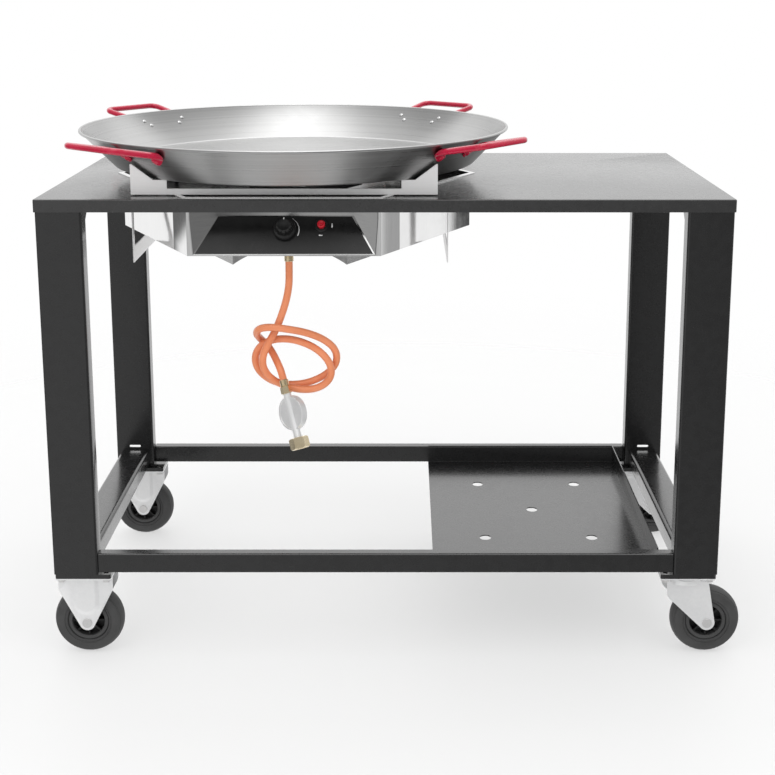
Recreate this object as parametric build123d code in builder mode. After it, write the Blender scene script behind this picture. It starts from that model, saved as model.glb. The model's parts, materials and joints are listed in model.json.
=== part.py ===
from build123d import *
import os
from math import asin, atan2, cos, degrees, hypot, pi, radians, sin, sqrt, tan

# Gas paella burner set in a wheeled steel worktable, with its pan, gas hose and regulator.
# Millimetres. X runs along the table to the right, Y from front to back, Z up.
# The origin is on the floor, under the middle of the standing object.

# Worktable
TABLE_LENGTH = 1185.0
TABLE_DEPTH = 600.0
TABLE_HEIGHT = 840.0
TOP_SHEET = 2.0
SKIRT_HEIGHT = 22.0
TABLE_CORNER_R = 4.0
TOP_EDGE_R = 2.5

# Legs, folded channels with their webs to the front, on welded foot plates
LEG_WIDTH = 79.0
LEG_FLANGE = 66.0
LEG_LIP = 28.0
LEG_SHEET = 2.5
LEG_BEND_R = 4.0
FOOT_PLATE_LENGTH = 99.0
FOOT_PLATE_DEPTH = 80.0
FOOT_PLATE = 8.0
FOOT_PLATE_INSET = 2.0
FOOT_CORNER_R = 4.0
LEG_SLOT_LENGTH = 24.0
LEG_SLOT_HEIGHT = 5.0
LEG_SLOT_ABOVE_RAIL = 7.0

# Rails and bottle tray
RAIL_TOP = 201.0
RAIL_HEIGHT = 35.0
RAIL_SHEET = 2.0
RAIL_BEND_R = 4.0
RAIL_FLANGE = 20.0
FRONT_RAIL_SETBACK = 3.0
BACK_RAIL_SETBACK = 16.0
SIDE_RAIL_WIDTH = 59.0
SIDE_RAIL_BEND_R = 8.0
SIDE_RAIL_INSET = 10.5
TRAY_LENGTH = 403.0
TRAY_RIGHT_GAP = 23.0
TRAY_SHEET = 2.0
TRAY_BEND_R = 3.0
TRAY_LIP = 12.0
TRAY_TUCK = 4.0
TRAY_DROP = 36.0
TRAY_HOLE_R = 11.0
TRAY_HOLES_X = 201.0
TRAY_HOLES_Y = 265.5

# Casters: fixed pair on the left, swivel pair on the right
WHEEL_R = 62.5
WHEEL_WIDTH = 36.0
CASTER_HEIGHT = 155.0
CASTER_PLATE = 2.5
CASTER_HOLES_X = 80.0
CASTER_HOLES_Y = 64.0
CASTER_BOLT_R = 4.0
CASTER_BOLT_AF = 13.0
CASTER_BOLT_HEAD = 5.2
BOLT_CLEARANCE = 0.2
FORK_SHEET = 2.5
FORK_TOP_WIDTH = 97.0
FORK_BOSS_R = 14.0
FORK_SIDE_GAP = 0.5
FORK_SHOULDER = 22.0
FORK_SHOULDER_R = 16.0
FORK_BAND_WIDTH = 38.0
FORK_BAND_LENGTH = 62.0
FORK_BAND_HEIGHT = 1.6
FORK_BAND_R = 12.0
FORK_BAND_TAPER = 45.0
SWIVEL_BAND_WIDTH = 24.0
SWIVEL_BAND_LENGTH = 42.0
SWIVEL_BAND_DROP = 4.0
SWIVEL_BAND_ASIDE = 14.0
CASTER_TRAIL = 40.0
RACE_R = 31.0
RACE_HEIGHT = 5.5
CROWN_R = 34.0
CROWN_HEIGHT = 8.0
CROWN_BRIDGE = 4.0
CROWN_BRIDGE_INSET = 4.0
KING_PIN_R = 6.5
KING_HEAD_R = 11.0
KING_HEAD_HEIGHT = 4.0
AXLE_R = 6.0
AXLE_HEAD_R = 8.5
AXLE_HEAD = 2.5
RUNNING_FIT = 0.05
FLAT_CLEARANCE = 0.1
HUB_LENGTH = 44.0
HUB_R = 37.0
HUB_WIDTH = 32.0
HUB_RECESS_R = 29.0
HUB_BOSS_R = 14.0
HUB_WEB = 8.0
HUB_RIB = 3.0
HUB_RIBS = 8
HUB_RIB_RECESS = 3.0
TYRE_SEAT_FIT = 0.05
TYRE_SHOULDER_DROP = 8.5
TYRE_BEAD_INSET = 2.0
TYRE_BEAD_HEIGHT = 7.0

# Burner housing, a hexagon hung by its rim in the table's cut-out
BURNER_X = -172.0
HEX_SIDE = 330.0
HOUSING_SHEET = 1.5
HOUSING_DROP = 100.0
RIM_WIDTH = 8.0
RIM_SHEET = 2.0
CUTOUT_GAP = 1.0
SHROUD_SIDE = 204.0
FLOOR_HOLE_SIDE = 190.0
SHROUD_DROP = 39.0
SHROUD_ARCH = 33.0
FOOT_X = 282.0
FOOT_HALF_DEPTH = 159.0
FOOT_SHEET = 2.0
FOOT_POST = 11.0
FOOT_RUNNER = 29.0
FOOT_DROP = 139.0

# Control panel, tilted back in a folded recess of the housing's front wall
PANEL_BOTTOM = 98.5
PANEL_TOP = 37.0
PANEL_SETBACK = 40.0
PANEL_BOTTOM_WIDTH = 313.0
PANEL_TOP_WIDTH = 235.0
RECESS_MOUTH_WIDTH = 322.0
RECESS_ROOF = 6.0
RECESS_TOE = 0.8
SURROUND_SHEET = 1.2
PANEL_SHEET = 2.0
PANEL_MARGIN = 2.5
KNOB_UP = 0.62
IGNITER_UP = 0.74
IGNITER_X = 62.5

# Knob, gas valve and igniter, placed along the panel's normal
KNOB_R = 20.0
KNOB_GRIP_R = 15.5
KNOB_TOP_R = 14.0
KNOB_SKIRT = 5.0
KNOB_HEIGHT = 21.0
KNOB_TRAVEL = 4.0
KNOB_GAP = 0.6
KNOB_FLUTES = 10
KNOB_FLUTE_R = 2.0
KNOB_WALL = 6.0
SPINDLE_R = 4.0
SPINDLE_HOLE_R = 6.0
SPINDLE_REACH = 25.0
VALVE_R = 14.0
VALVE_LENGTH = 43.0
VALVE_NOSE = 10.0
PLUG_R = 8.0
PLUG_LENGTH = 22.0
INLET_R = 9.5
INLET_X = 4.0
INLET_BACK = 24.0
JET_R = 5.0
JET_LENGTH = 30.0
JET_TIP_R = 2.5
BUTTON_R = 7.0
BUTTON_PROUD = 9.0
BUTTON_TRAVEL = 5.0
BUTTON_LENGTH = 19.0
BUTTON_EDGE_R = 1.5
BEZEL_R = 13.0
BEZEL_HEIGHT = 3.0
IGNITER_R = 10.0
IGNITER_LENGTH = 48.0
IGNITER_HOLE_FIT = 0.6

# Star burner and its fittings
STAR_REACH = 225.0
STAR_ARMS = 6
ARM_WIDTH = 24.0
ARM_HEIGHT = 18.0
ARM_TOP_DROP = 32.0
ARM_PORTS = 7
ARM_PORT_R = 2.5
ARM_PORT_DEPTH = 4.0
ARM_PORT_FIRST = 66.0
ARM_PORT_PITCH = 24.0
STAR_HUB_R = 45.0
STAR_HUB_HEIGHT = 64.0
STAR_LEG_R = 6.0
STAR_LEG_AT = 213.0
VENTURI_DROP = 76.0
VENTURI_R = 15.0
VENTURI_BORE_R = 12.0
VENTURI_MOUTH_R = 20.0
VENTURI_FLARE = 22.0
VENTURI_MOUTH_Y = 200.0
VENTURI_SEAT_Y = 58.0
VENTURI_BOSS_R = 18.0
PROBE_AT = 120.0
PROBE_ASIDE = 16.2
PROBE_TOP_DROP = 34.0
PROBE_CLIP = 8.0
PROBE_CLIP_HEIGHT = 9.0
PROBE_LOW_DROP = 88.4
PROBE_BEND_R = 5.0
PROBE_START = 8.0
PROBE_DIP_X = 32.0
PROBE_DIP_Y = 204.0
PROBE_RUN = 40.0
LEAD_DIP_Y = 176.0
LEAD_RUN = 28.0
THERMOCOUPLE_R = 2.0
THERMOCOUPLE_ASIDE = 9.0
ELECTRODE_R = 3.5
ELECTRODE_LENGTH = 36.0
ELECTRODE_TIP_R = 1.2
ELECTRODE_TIP = 12.0
LEAD_R = 1.6

# Pan support, a square of notched plates
SUPPORT_HALF = 262.0
SUPPORT_SHEET = 3.0
SUPPORT_BAR_TOP = 12.4
SUPPORT_STEP_TOP = 27.5
SUPPORT_STEP_FROM = 62.0
SUPPORT_STEP_TO = 38.6
SUPPORT_TIP_TOP = 54.4
SUPPORT_TIP_FLAT = 3.0

# Pan
PAN_BASE_R = 336.0
PAN_RIM_R = 400.0
PAN_HEIGHT = 67.0
PAN_SHEET = 2.0
PAN_BEND_R = 10.0
PAN_BEAD_R = 2.6
HANDLE_ROD_R = 5.5
HANDLE_ANGLE = 51.0
HANDLE_PADS = 88.0
HANDLE_LENGTH = 131.0
HANDLE_OVERHANG = 82.0
HANDLE_TOP = 96.0
HANDLE_BEND_R = 16.0
HANDLE_PAD_TOP = 72.0
HANDLE_PAD_LEAN = 45.0
HANDLE_PAD_LENGTH = 36.0
HANDLE_PAD_WIDTH = 19.0
HANDLE_PAD = 4.0
RIVET_R = 2.4
RIVET_HEAD_R = 4.5
RIVET_HEAD = 2.0
RIVET_PITCH = 17.0
RIVET_FIT = 0.1
RIVET_INSIDE = 0.3
ROD_LIFT = 5.0
ROD_PAST_RIVET = 9.0
SEAT_GAP = 0.05

# Gas hose, from the connector under the panel to the regulator
HOSE_R = 6.5
CONNECTOR_NUT_AF = 17.0
CONNECTOR_NUT = 9.0
CONNECTOR_STEM_R = 6.0
CONNECTOR_STEM = 10.0
CONNECTOR_FIT = 0.1
FERRULE_R = 8.2
FERRULE = 10.0
HOSE_ROUTE = [
    (0.0, 0.0, 0.0),
    (0.0, 0.0, -20.0),
    (-0.5, 0.5, -40.0),
    (-3.5, 0.0, -60.0),
    (-8.6, -2.0, -80.0),
    (-16.6, -6.0, -103.0),
    (-26.4, -10.0, -126.0),
    (-38.5, -12.0, -146.5),
    (-47.5, -13.0, -166.0),
    (-49.0, -11.5, -186.0),
    (-41.0, -7.0, -205.0),
    (-25.5, -3.0, -219.0),
    (-3.0, -1.0, -229.5),
    (21.0, 0.0, -234.5),
    (46.0, 0.0, -232.0),
    (65.5, 0.0, -220.0),
    (73.5, 0.0, -201.0),
    (66.5, 0.5, -179.0),
    (47.0, 2.0, -159.5),
    (20.0, 3.5, -146.5),
    (-8.0, 5.0, -141.0),
    (-35.0, 5.0, -143.5),
    (-56.0, 5.0, -156.0),
    (-65.0, 6.5, -177.0),
    (-59.5, 9.5, -200.0),
    (-41.0, 13.0, -219.0),
    (-15.0, 15.5, -229.0),
    (14.0, 16.5, -229.5),
    (42.0, 17.0, -222.0),
    (66.0, 17.5, -208.0),
    (81.6, 16.5, -188.0),
    (79.5, 12.5, -163.0),
    (59.0, 4.0, -142.0),
    (29.0, -10.0, -126.0),
    (-4.0, -24.0, -116.0),
    (-33.0, -27.0, -111.5),
    (-53.0, -17.0, -117.0),
    (-61.0, 3.5, -131.0),
    (-56.0, 21.0, -145.5),
    (-44.0, 25.5, -158.0),
    (-33.5, 18.0, -171.0),
    (-24.3, 5.0, -184.5),
    (-16.2, -8.2, -197.2),
    (-12.0, -14.0, -211.5),
]

# Regulator, hanging from the hose's end
TAIL_HEX_AF = 17.0
TAIL_HEX = 13.0
TAIL_FERRULE = 12.0
REG_STEM_R = 7.0
REG_STEM = 88.0
REG_DISC_R = 30.0
REG_DISC_AT = 35.0
REG_DISC_FRONT = 3.0
REG_DISC = 12.0
REG_BONNET_R = 24.0
REG_BONNET = 8.0
REG_RIM = 3.0
REG_RIM_HEIGHT = 1.2
REG_TURN = 38.0
UNION_AF = 30.0
UNION_LENGTH = 20.0
UNION_BORE_R = 10.9
UNION_BORE = 11.0
UNION_POCKET_R = 10.2
STEM_LIP_R = 9.5
STEM_LIP = 3.0
UNION_COLLAR_FIT = 0.3

# Places worked out from the sizes above
MID_X = -CASTER_TRAIL / 2
TABLE_UNDER = TABLE_HEIGHT - TOP_SHEET
LEG_OUT = TABLE_LENGTH / 2 - TOP_SHEET
LEG_IN = LEG_OUT - LEG_WIDTH
LEG_FRONT_Y = -TABLE_DEPTH / 2 + TOP_SHEET
LEG_BACK_Y = TABLE_DEPTH / 2 - TOP_SHEET - LEG_FLANGE
LEG_BOTTOM = CASTER_HEIGHT + FOOT_PLATE
CASTER_X = LEG_OUT - FOOT_PLATE_INSET - FOOT_PLATE_LENGTH / 2
CASTER_Y = TABLE_DEPTH / 2 - TOP_SHEET - FOOT_PLATE_DEPTH / 2
RAIL_BOTTOM = RAIL_TOP - RAIL_HEIGHT
FRONT_RAIL_Y = LEG_FRONT_Y + FRONT_RAIL_SETBACK
BACK_RAIL_Y = LEG_BACK_Y + BACK_RAIL_SETBACK
CHEEK_IN = HUB_LENGTH / 2 + FORK_SIDE_GAP
CHEEK_OUT = CHEEK_IN + FORK_SHEET
CROWN_TOP = CASTER_HEIGHT - CASTER_PLATE - RACE_HEIGHT
BURNER = Vector(MID_X + BURNER_X, 0, TABLE_HEIGHT)
HEX_FLAT = HEX_SIDE * sqrt(3) / 2
PANEL_RISE = PANEL_BOTTOM - PANEL_TOP
PANEL_FOOT = Vector(BURNER.X, BURNER.Y - HEX_FLAT + RECESS_TOE, TABLE_HEIGHT - PANEL_BOTTOM)
PANEL_HEAD = Vector(BURNER.X, BURNER.Y - HEX_FLAT + PANEL_SETBACK, TABLE_HEIGHT - PANEL_TOP)
PANEL_LENGTH = (PANEL_HEAD - PANEL_FOOT).length
PANEL_UP = (PANEL_HEAD - PANEL_FOOT).normalized()
PANEL_OUT = Vector(0, -PANEL_UP.Z, PANEL_UP.Y)
PAN_BOTTOM = TABLE_HEIGHT + SUPPORT_STEP_TOP
HALF_TURN = 180.0

os.makedirs("parts", exist_ok=True)


def write(shape, name):
    """Labels one finished piece and writes it to its own file."""
    shape.label = name
    export_step(shape, f"parts/{name}.step")


def folded_section(plane, points, sheet, bend):
    """Gives the section of a folded sheet, whose thickness lies to the left of the outer line."""
    with BuildSketch(plane) as section:
        with BuildLine():
            FilletPolyline(*points, radius=bend)
            offset(amount=sheet, side=Side.LEFT)
        make_face()
    return section.sketch


def hexagon(side, height):
    """Gives a flat hexagon about the burner's middle, its corners along X."""
    with BuildSketch(Plane(origin=(BURNER.X, BURNER.Y, height))) as outline:
        RegularPolygon(side, 6)
    return outline.sketch


def hex_across(flats):
    """Gives the corner radius of a hexagon of a given width across flats."""
    return flats / sqrt(3)


# Table top: a folded sheet with a skirt all round and the burner's cut-out
with BuildPart() as table_top:
    with BuildSketch(Plane.XY.offset(TABLE_HEIGHT - SKIRT_HEIGHT)):
        with Locations((MID_X, 0)):
            RectangleRounded(TABLE_LENGTH, TABLE_DEPTH, TABLE_CORNER_R)
    extrude(amount=SKIRT_HEIGHT)
    fillet(table_top.faces().sort_by(Axis.Z)[-1].edges(), TOP_EDGE_R)
    with BuildSketch(Plane.XY.offset(TABLE_HEIGHT - SKIRT_HEIGHT)):
        with Locations((MID_X, 0)):
            Rectangle(TABLE_LENGTH - 2 * TOP_SHEET, TABLE_DEPTH - 2 * TOP_SHEET)
    extrude(amount=SKIRT_HEIGHT - TOP_SHEET, mode=Mode.SUBTRACT)
    cutout = hexagon(HEX_SIDE + CUTOUT_GAP, TABLE_UNDER)
    extrude(cutout, amount=TOP_SHEET, mode=Mode.SUBTRACT)
write(table_top.part, "table_top")

# Legs: the lip widens to the flange's depth under the top, the back webs are slotted
LEG_ROWS = {"front": LEG_FRONT_Y, "back": LEG_BACK_Y}
SIDES = {"left": -1, "right": 1}
for row, web_y in LEG_ROWS.items():
    for side, sign in SIDES.items():
        lip_x = MID_X + sign * LEG_IN
        flange_x = MID_X + sign * LEG_OUT
        line = [
            (lip_x, web_y + LEG_LIP),
            (lip_x, web_y),
            (flange_x, web_y),
            (flange_x, web_y + LEG_FLANGE),
        ]
        if sign < 0:
            line.reverse()
        plate_x = MID_X + sign * CASTER_X
        plate_y = -CASTER_Y if row == "front" else CASTER_Y
        flare = LEG_FLANGE - LEG_LIP
        with BuildPart() as leg:
            channel = folded_section(Plane.XY.offset(LEG_BOTTOM), line, LEG_SHEET, LEG_BEND_R)
            extrude(channel, amount=TABLE_UNDER - LEG_BOTTOM)
            with BuildSketch(Plane.YZ.offset(lip_x)):
                with BuildLine():
                    Polyline(
                        (web_y + LEG_LIP - LEG_SHEET, TABLE_UNDER),
                        (web_y + LEG_FLANGE, TABLE_UNDER),
                        (web_y + LEG_LIP, TABLE_UNDER - flare),
                        (web_y + LEG_LIP - LEG_SHEET, TABLE_UNDER - flare),
                        close=True,
                    )
                make_face()
            extrude(amount=sign * LEG_SHEET)
            with BuildSketch(Plane.XY.offset(CASTER_HEIGHT)):
                with Locations((plate_x, plate_y)):
                    RectangleRounded(FOOT_PLATE_LENGTH, FOOT_PLATE_DEPTH, FOOT_CORNER_R)
                    with GridLocations(CASTER_HOLES_X, CASTER_HOLES_Y, 2, 2):
                        Circle(CASTER_BOLT_R + BOLT_CLEARANCE, mode=Mode.SUBTRACT)
            extrude(amount=FOOT_PLATE)
            if row == "back":
                with BuildSketch(Plane.XZ.offset(-web_y)):
                    with Locations(((lip_x + flange_x) / 2, RAIL_TOP + LEG_SLOT_ABOVE_RAIL)):
                        SlotOverall(LEG_SLOT_LENGTH, LEG_SLOT_HEIGHT)
                extrude(amount=-LEG_SHEET, mode=Mode.SUBTRACT)
        write(leg.part, f"leg_{row}_{side}")

# Long rails: an angle with its face to the front, between the lips of two legs
for row, face_y in {"front": FRONT_RAIL_Y, "back": BACK_RAIL_Y}.items():
    with BuildPart() as rail:
        angle = folded_section(
            Plane.YZ.offset(MID_X - LEG_IN),
            [(face_y + RAIL_FLANGE, RAIL_TOP), (face_y, RAIL_TOP), (face_y, RAIL_BOTTOM)],
            RAIL_SHEET,
            RAIL_BEND_R,
        )
        extrude(angle, amount=2 * LEG_IN)
    write(rail.part, f"{row}_rail")

# Side rails: inverted channels from the front leg's web to the back leg's web
SIDE_RAIL_START = LEG_FRONT_Y + LEG_SHEET
for side, sign in SIDES.items():
    edge_a = MID_X + sign * (LEG_OUT - SIDE_RAIL_INSET)
    edge_b = MID_X + sign * (LEG_OUT - SIDE_RAIL_INSET - SIDE_RAIL_WIDTH)
    low_x = min(edge_a, edge_b)
    high_x = max(edge_a, edge_b)
    with BuildPart() as side_rail:
        channel = folded_section(
            Plane.XZ.offset(-SIDE_RAIL_START),
            [(high_x, RAIL_BOTTOM), (high_x, RAIL_TOP), (low_x, RAIL_TOP), (low_x, RAIL_BOTTOM)],
            RAIL_SHEET,
            SIDE_RAIL_BEND_R,
        )
        extrude(channel, amount=-(LEG_BACK_Y - SIDE_RAIL_START))
    write(side_rail.part, f"side_rail_{side}")

# Bottle tray: tucked under the front rail's flange and hung over the back rail
TRAY_RIGHT = MID_X + LEG_IN - TRAY_RIGHT_GAP
TRAY_LEFT = TRAY_RIGHT - TRAY_LENGTH
TRAY_FLOOR = RAIL_TOP - TRAY_DROP
TRAY_FRONT = FRONT_RAIL_Y + RAIL_FLANGE - TRAY_TUCK
with BuildPart() as bottle_tray:
    folded = folded_section(
        Plane.YZ.offset(TRAY_LEFT),
        [
            (TRAY_FRONT, RAIL_TOP - RAIL_SHEET),
            (TRAY_FRONT, TRAY_FLOOR),
            (BACK_RAIL_Y, TRAY_FLOOR),
            (BACK_RAIL_Y, RAIL_TOP),
            (BACK_RAIL_Y + TRAY_LIP, RAIL_TOP),
        ],
        TRAY_SHEET,
        TRAY_BEND_R,
    )
    extrude(folded, amount=TRAY_LENGTH)
    wall_front = TRAY_FRONT + TRAY_TUCK + TRAY_SHEET
    with BuildSketch(Plane.XY.offset(TRAY_FLOOR)):
        with Locations((TRAY_RIGHT, wall_front)):
            Rectangle(TRAY_SHEET, BACK_RAIL_Y - wall_front, align=(Align.MAX, Align.MIN))
    extrude(amount=TRAY_DROP + TRAY_SHEET)
    with BuildSketch(Plane.XY.offset(TRAY_FLOOR)):
        with Locations(((TRAY_LEFT + TRAY_RIGHT) / 2, (TRAY_FRONT + BACK_RAIL_Y) / 2)):
            Circle(TRAY_HOLE_R)
            with GridLocations(TRAY_HOLES_X, TRAY_HOLES_Y, 2, 2):
                Circle(TRAY_HOLE_R)
    extrude(amount=TRAY_SHEET, mode=Mode.SUBTRACT)
write(bottle_tray.part, "bottle_tray")


# Casters
def caster_plate(center_x, center_y):
    """Gives the outline of a caster's top plate with its four bolt holes."""
    with BuildSketch(Plane.XY.offset(CASTER_HEIGHT - CASTER_PLATE)) as outline:
        with Locations((center_x, center_y)):
            RectangleRounded(FOOT_PLATE_LENGTH, FOOT_PLATE_DEPTH, FOOT_CORNER_R)
            with GridLocations(CASTER_HOLES_X, CASTER_HOLES_Y, 2, 2):
                Circle(CASTER_BOLT_R + BOLT_CLEARANCE, mode=Mode.SUBTRACT)
    return outline.sketch


def cheek_outline(center_x, left, right, top, axle_x, face_y):
    """Gives one cheek of a fork: round shoulders at the top, drawn in to the boss at the axle."""
    with BuildSketch(Plane.XZ.offset(-face_y)) as outline:
        with BuildLine():
            Line((center_x + left, top), (center_x + right, top))
            for shoulder_x in (left + FORK_SHOULDER_R, right - FORK_SHOULDER_R):
                CenterArc((center_x + shoulder_x, top - FORK_SHOULDER), FORK_SHOULDER_R, 0, 360)
            CenterArc((axle_x, WHEEL_R), FORK_BOSS_R, 0, 360)
        make_hull()
        with Locations((axle_x, WHEEL_R)):
            Circle(AXLE_R + BOLT_CLEARANCE, mode=Mode.SUBTRACT)
    return outline.sketch


def press_band(center_x, top, width, length, center_y, face):
    """Presses an upright band out of the open part's cheek, hollow on the wheel's side."""
    for face_y, mode in ((CHEEK_OUT, Mode.ADD), (CHEEK_IN, Mode.SUBTRACT)):
        with BuildSketch(Plane.XZ.offset(-center_y - face * face_y)) as outline:
            with Locations((center_x, top)):
                Rectangle(width, length, align=(Align.CENTER, Align.MAX))
            fillet(outline.vertices().sort_by(Axis.Z)[:2], FORK_BAND_R)
        extrude(outline.sketch, amount=-face * FORK_BAND_HEIGHT, taper=FORK_BAND_TAPER, mode=mode)


CASTER_ROWS = {"front": -CASTER_Y, "back": CASTER_Y}
left_x = MID_X - CASTER_X
right_x = MID_X + CASTER_X
axle_x = right_x + CASTER_TRAIL
PLATE_UNDER = CASTER_HEIGHT - CASTER_PLATE

for row, at_y in CASTER_ROWS.items():
    with BuildPart() as fixed_fork:
        extrude(caster_plate(left_x, at_y), amount=CASTER_PLATE)
        for face in (-1, 1):
            half = FORK_TOP_WIDTH / 2
            cheek = cheek_outline(left_x, -half, half, PLATE_UNDER, left_x, at_y + face * CHEEK_IN)
            extrude(cheek, amount=-face * FORK_SHEET)
            press_band(left_x, PLATE_UNDER, FORK_BAND_WIDTH, FORK_BAND_LENGTH, at_y, face)
    write(fixed_fork.part, f"fixed_fork_{row}")

    with BuildPart() as swivel_plate:
        extrude(caster_plate(right_x, at_y), amount=CASTER_PLATE)
        with BuildSketch(Plane.XY.offset(CROWN_TOP)):
            with Locations((right_x, at_y)):
                Circle(RACE_R)
        extrude(amount=RACE_HEIGHT)
        with BuildSketch(Plane.XY.offset(CROWN_TOP)):
            with Locations((right_x, at_y)):
                Circle(KING_PIN_R)
        extrude(amount=-CROWN_HEIGHT - KING_HEAD_HEIGHT)
        with BuildSketch(Plane.XY.offset(CROWN_TOP - CROWN_HEIGHT - FLAT_CLEARANCE)):
            with Locations((right_x, at_y)):
                Circle(KING_HEAD_R)
        extrude(amount=-KING_HEAD_HEIGHT, taper=20)
    write(swivel_plate.part, f"swivel_plate_{row}")

    with BuildPart() as swivel_fork:
        with BuildSketch(Plane.XY.offset(CROWN_TOP)):
            with Locations((right_x, at_y)):
                Circle(CROWN_R)
        extrude(amount=-CROWN_HEIGHT, taper=-8)
        bridge_left = -CROWN_R
        bridge_right = CASTER_TRAIL
        bridge_top = CROWN_TOP - CROWN_HEIGHT + CROWN_BRIDGE
        with BuildSketch(Plane.XY.offset(CROWN_TOP - CROWN_HEIGHT)):
            with Locations((right_x + (bridge_left + bridge_right) / 2, at_y)):
                Rectangle(bridge_right - bridge_left - 2 * CROWN_BRIDGE_INSET, 2 * CHEEK_OUT)
        extrude(amount=CROWN_BRIDGE)
        for face in (-1, 1):
            cheek = cheek_outline(
                right_x, bridge_left, bridge_right, bridge_top, axle_x, at_y + face * CHEEK_IN
            )
            extrude(cheek, amount=-face * FORK_SHEET)
            band_x = right_x + SWIVEL_BAND_ASIDE
            band_top = CROWN_TOP - CROWN_HEIGHT - SWIVEL_BAND_DROP
            press_band(band_x, band_top, SWIVEL_BAND_WIDTH, SWIVEL_BAND_LENGTH, at_y, face)
        with BuildSketch(Plane.XY.offset(CROWN_TOP)):
            with Locations((right_x, at_y)):
                Circle(KING_PIN_R + RUNNING_FIT)
        extrude(amount=-CROWN_HEIGHT, mode=Mode.SUBTRACT)
    write(swivel_fork.part, f"swivel_fork_{row}")


def add_axle(center_x, center_y):
    """Adds an axle with two low round heads, through a fork, to the open part."""
    with BuildSketch(Plane.XZ.offset(-center_y + CHEEK_OUT)) as shank:
        with Locations((center_x, WHEEL_R)):
            Circle(AXLE_R)
    with BuildSketch(Plane.XZ.offset(-center_y + CHEEK_OUT)) as near_head:
        with Locations((center_x, WHEEL_R)):
            Circle(AXLE_HEAD_R)
    with BuildSketch(Plane.XZ.offset(-center_y - CHEEK_OUT)) as far_head:
        with Locations((center_x, WHEEL_R)):
            Circle(AXLE_HEAD_R)
    extrude(shank.sketch, amount=-2 * CHEEK_OUT)
    extrude(near_head.sketch, amount=AXLE_HEAD)
    extrude(far_head.sketch, amount=-AXLE_HEAD)


with BuildPart() as fixed_axles:
    for at_y in CASTER_ROWS.values():
        add_axle(left_x, at_y)
write(fixed_axles.part, "fixed_axles")

for row, at_y in CASTER_ROWS.items():
    with BuildPart() as swivel_axle:
        add_axle(axle_x, at_y)
    write(swivel_axle.part, f"swivel_axle_{row}")

# Wheels: a ribbed hub on the axle and a rubber tyre with a rounded tread
TYRE_SEAT_R = HUB_R + TYRE_SEAT_FIT
for row, at_y in CASTER_ROWS.items():
    for side, wheel_x in {"left": left_x, "right": axle_x}.items():
        wheel_plane = Plane(origin=(wheel_x, at_y, WHEEL_R), x_dir=(0, 0, 1), z_dir=(1, 0, 0))
        wheel_axis = Axis((wheel_x, at_y, WHEEL_R), (0, 1, 0))
        with BuildPart() as hub:
            with BuildSketch(wheel_plane):
                with BuildLine():
                    Polyline(
                        (AXLE_R + RUNNING_FIT, -HUB_LENGTH / 2),
                        (HUB_BOSS_R, -HUB_LENGTH / 2),
                        (HUB_BOSS_R, -HUB_WEB / 2),
                        (HUB_RECESS_R, -HUB_WEB / 2),
                        (HUB_RECESS_R, -HUB_WIDTH / 2),
                        (HUB_R, -HUB_WIDTH / 2),
                        (HUB_R, HUB_WIDTH / 2),
                        (HUB_RECESS_R, HUB_WIDTH / 2),
                        (HUB_RECESS_R, HUB_WEB / 2),
                        (HUB_BOSS_R, HUB_WEB / 2),
                        (HUB_BOSS_R, HUB_LENGTH / 2),
                        (AXLE_R + RUNNING_FIT, HUB_LENGTH / 2),
                        close=True,
                    )
                make_face()
            revolve(axis=wheel_axis)
            with BuildSketch(Plane.XZ.offset(-at_y)):
                with Locations((wheel_x, WHEEL_R)):
                    with PolarLocations((HUB_BOSS_R + HUB_RECESS_R) / 2, HUB_RIBS):
                        Rectangle(HUB_RECESS_R - HUB_BOSS_R + HUB_RIB, HUB_RIB)
            extrude(amount=HUB_WIDTH / 2 - HUB_RIB_RECESS, both=True)
        write(hub.part, f"wheel_hub_{row}_{side}")

        with BuildPart() as tyre:
            with BuildSketch(wheel_plane):
                half = WHEEL_WIDTH / 2
                bead = half - TYRE_BEAD_INSET
                shoulder = WHEEL_R - TYRE_SHOULDER_DROP
                with BuildLine():
                    Polyline(
                        (shoulder, half),
                        (TYRE_SEAT_R + TYRE_BEAD_HEIGHT, half),
                        (TYRE_SEAT_R, bead),
                        (TYRE_SEAT_R, -bead),
                        (TYRE_SEAT_R + TYRE_BEAD_HEIGHT, -half),
                        (shoulder, -half),
                    )
                    ThreePointArc((shoulder, -half), (WHEEL_R, 0), (shoulder, half))
                make_face()
            revolve(axis=wheel_axis)
        write(tyre.part, f"tyre_{row}_{side}")

# Caster bolts: heads under the caster plates, shanks in the foot plates
with BuildPart() as caster_bolts:
    for center_x in (left_x, right_x):
        for at_y in CASTER_ROWS.values():
            with BuildSketch(Plane.XY.offset(PLATE_UNDER)):
                with Locations((center_x, at_y)):
                    with GridLocations(CASTER_HOLES_X, CASTER_HOLES_Y, 2, 2):
                        RegularPolygon(hex_across(CASTER_BOLT_AF), 6)
            extrude(amount=-CASTER_BOLT_HEAD)
            with BuildSketch(Plane.XY.offset(PLATE_UNDER)):
                with Locations((center_x, at_y)):
                    with GridLocations(CASTER_HOLES_X, CASTER_HOLES_Y, 2, 2):
                        Circle(CASTER_BOLT_R)
            extrude(amount=CASTER_PLATE + FOOT_PLATE)
write(caster_bolts.part, "caster_bolts")


# Burner housing and panel recess
def recess_level(height, mouth_half, back, grow):
    """Gives the recess's outline at one height, its sides grown outwards by a sheet."""
    slope = (RECESS_MOUTH_WIDTH - PANEL_TOP_WIDTH) / 2 / PANEL_SETBACK
    front_half = mouth_half + grow * hypot(1, slope)
    back_half = front_half - slope * back
    with BuildSketch(Plane(origin=(BURNER.X, BURNER.Y - HEX_FLAT, height))) as outline:
        with BuildLine():
            Polyline(
                (-front_half, 0),
                (front_half, 0),
                (back_half, back),
                (-back_half, back),
                close=True,
            )
        make_face()
    return outline.sketch


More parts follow.
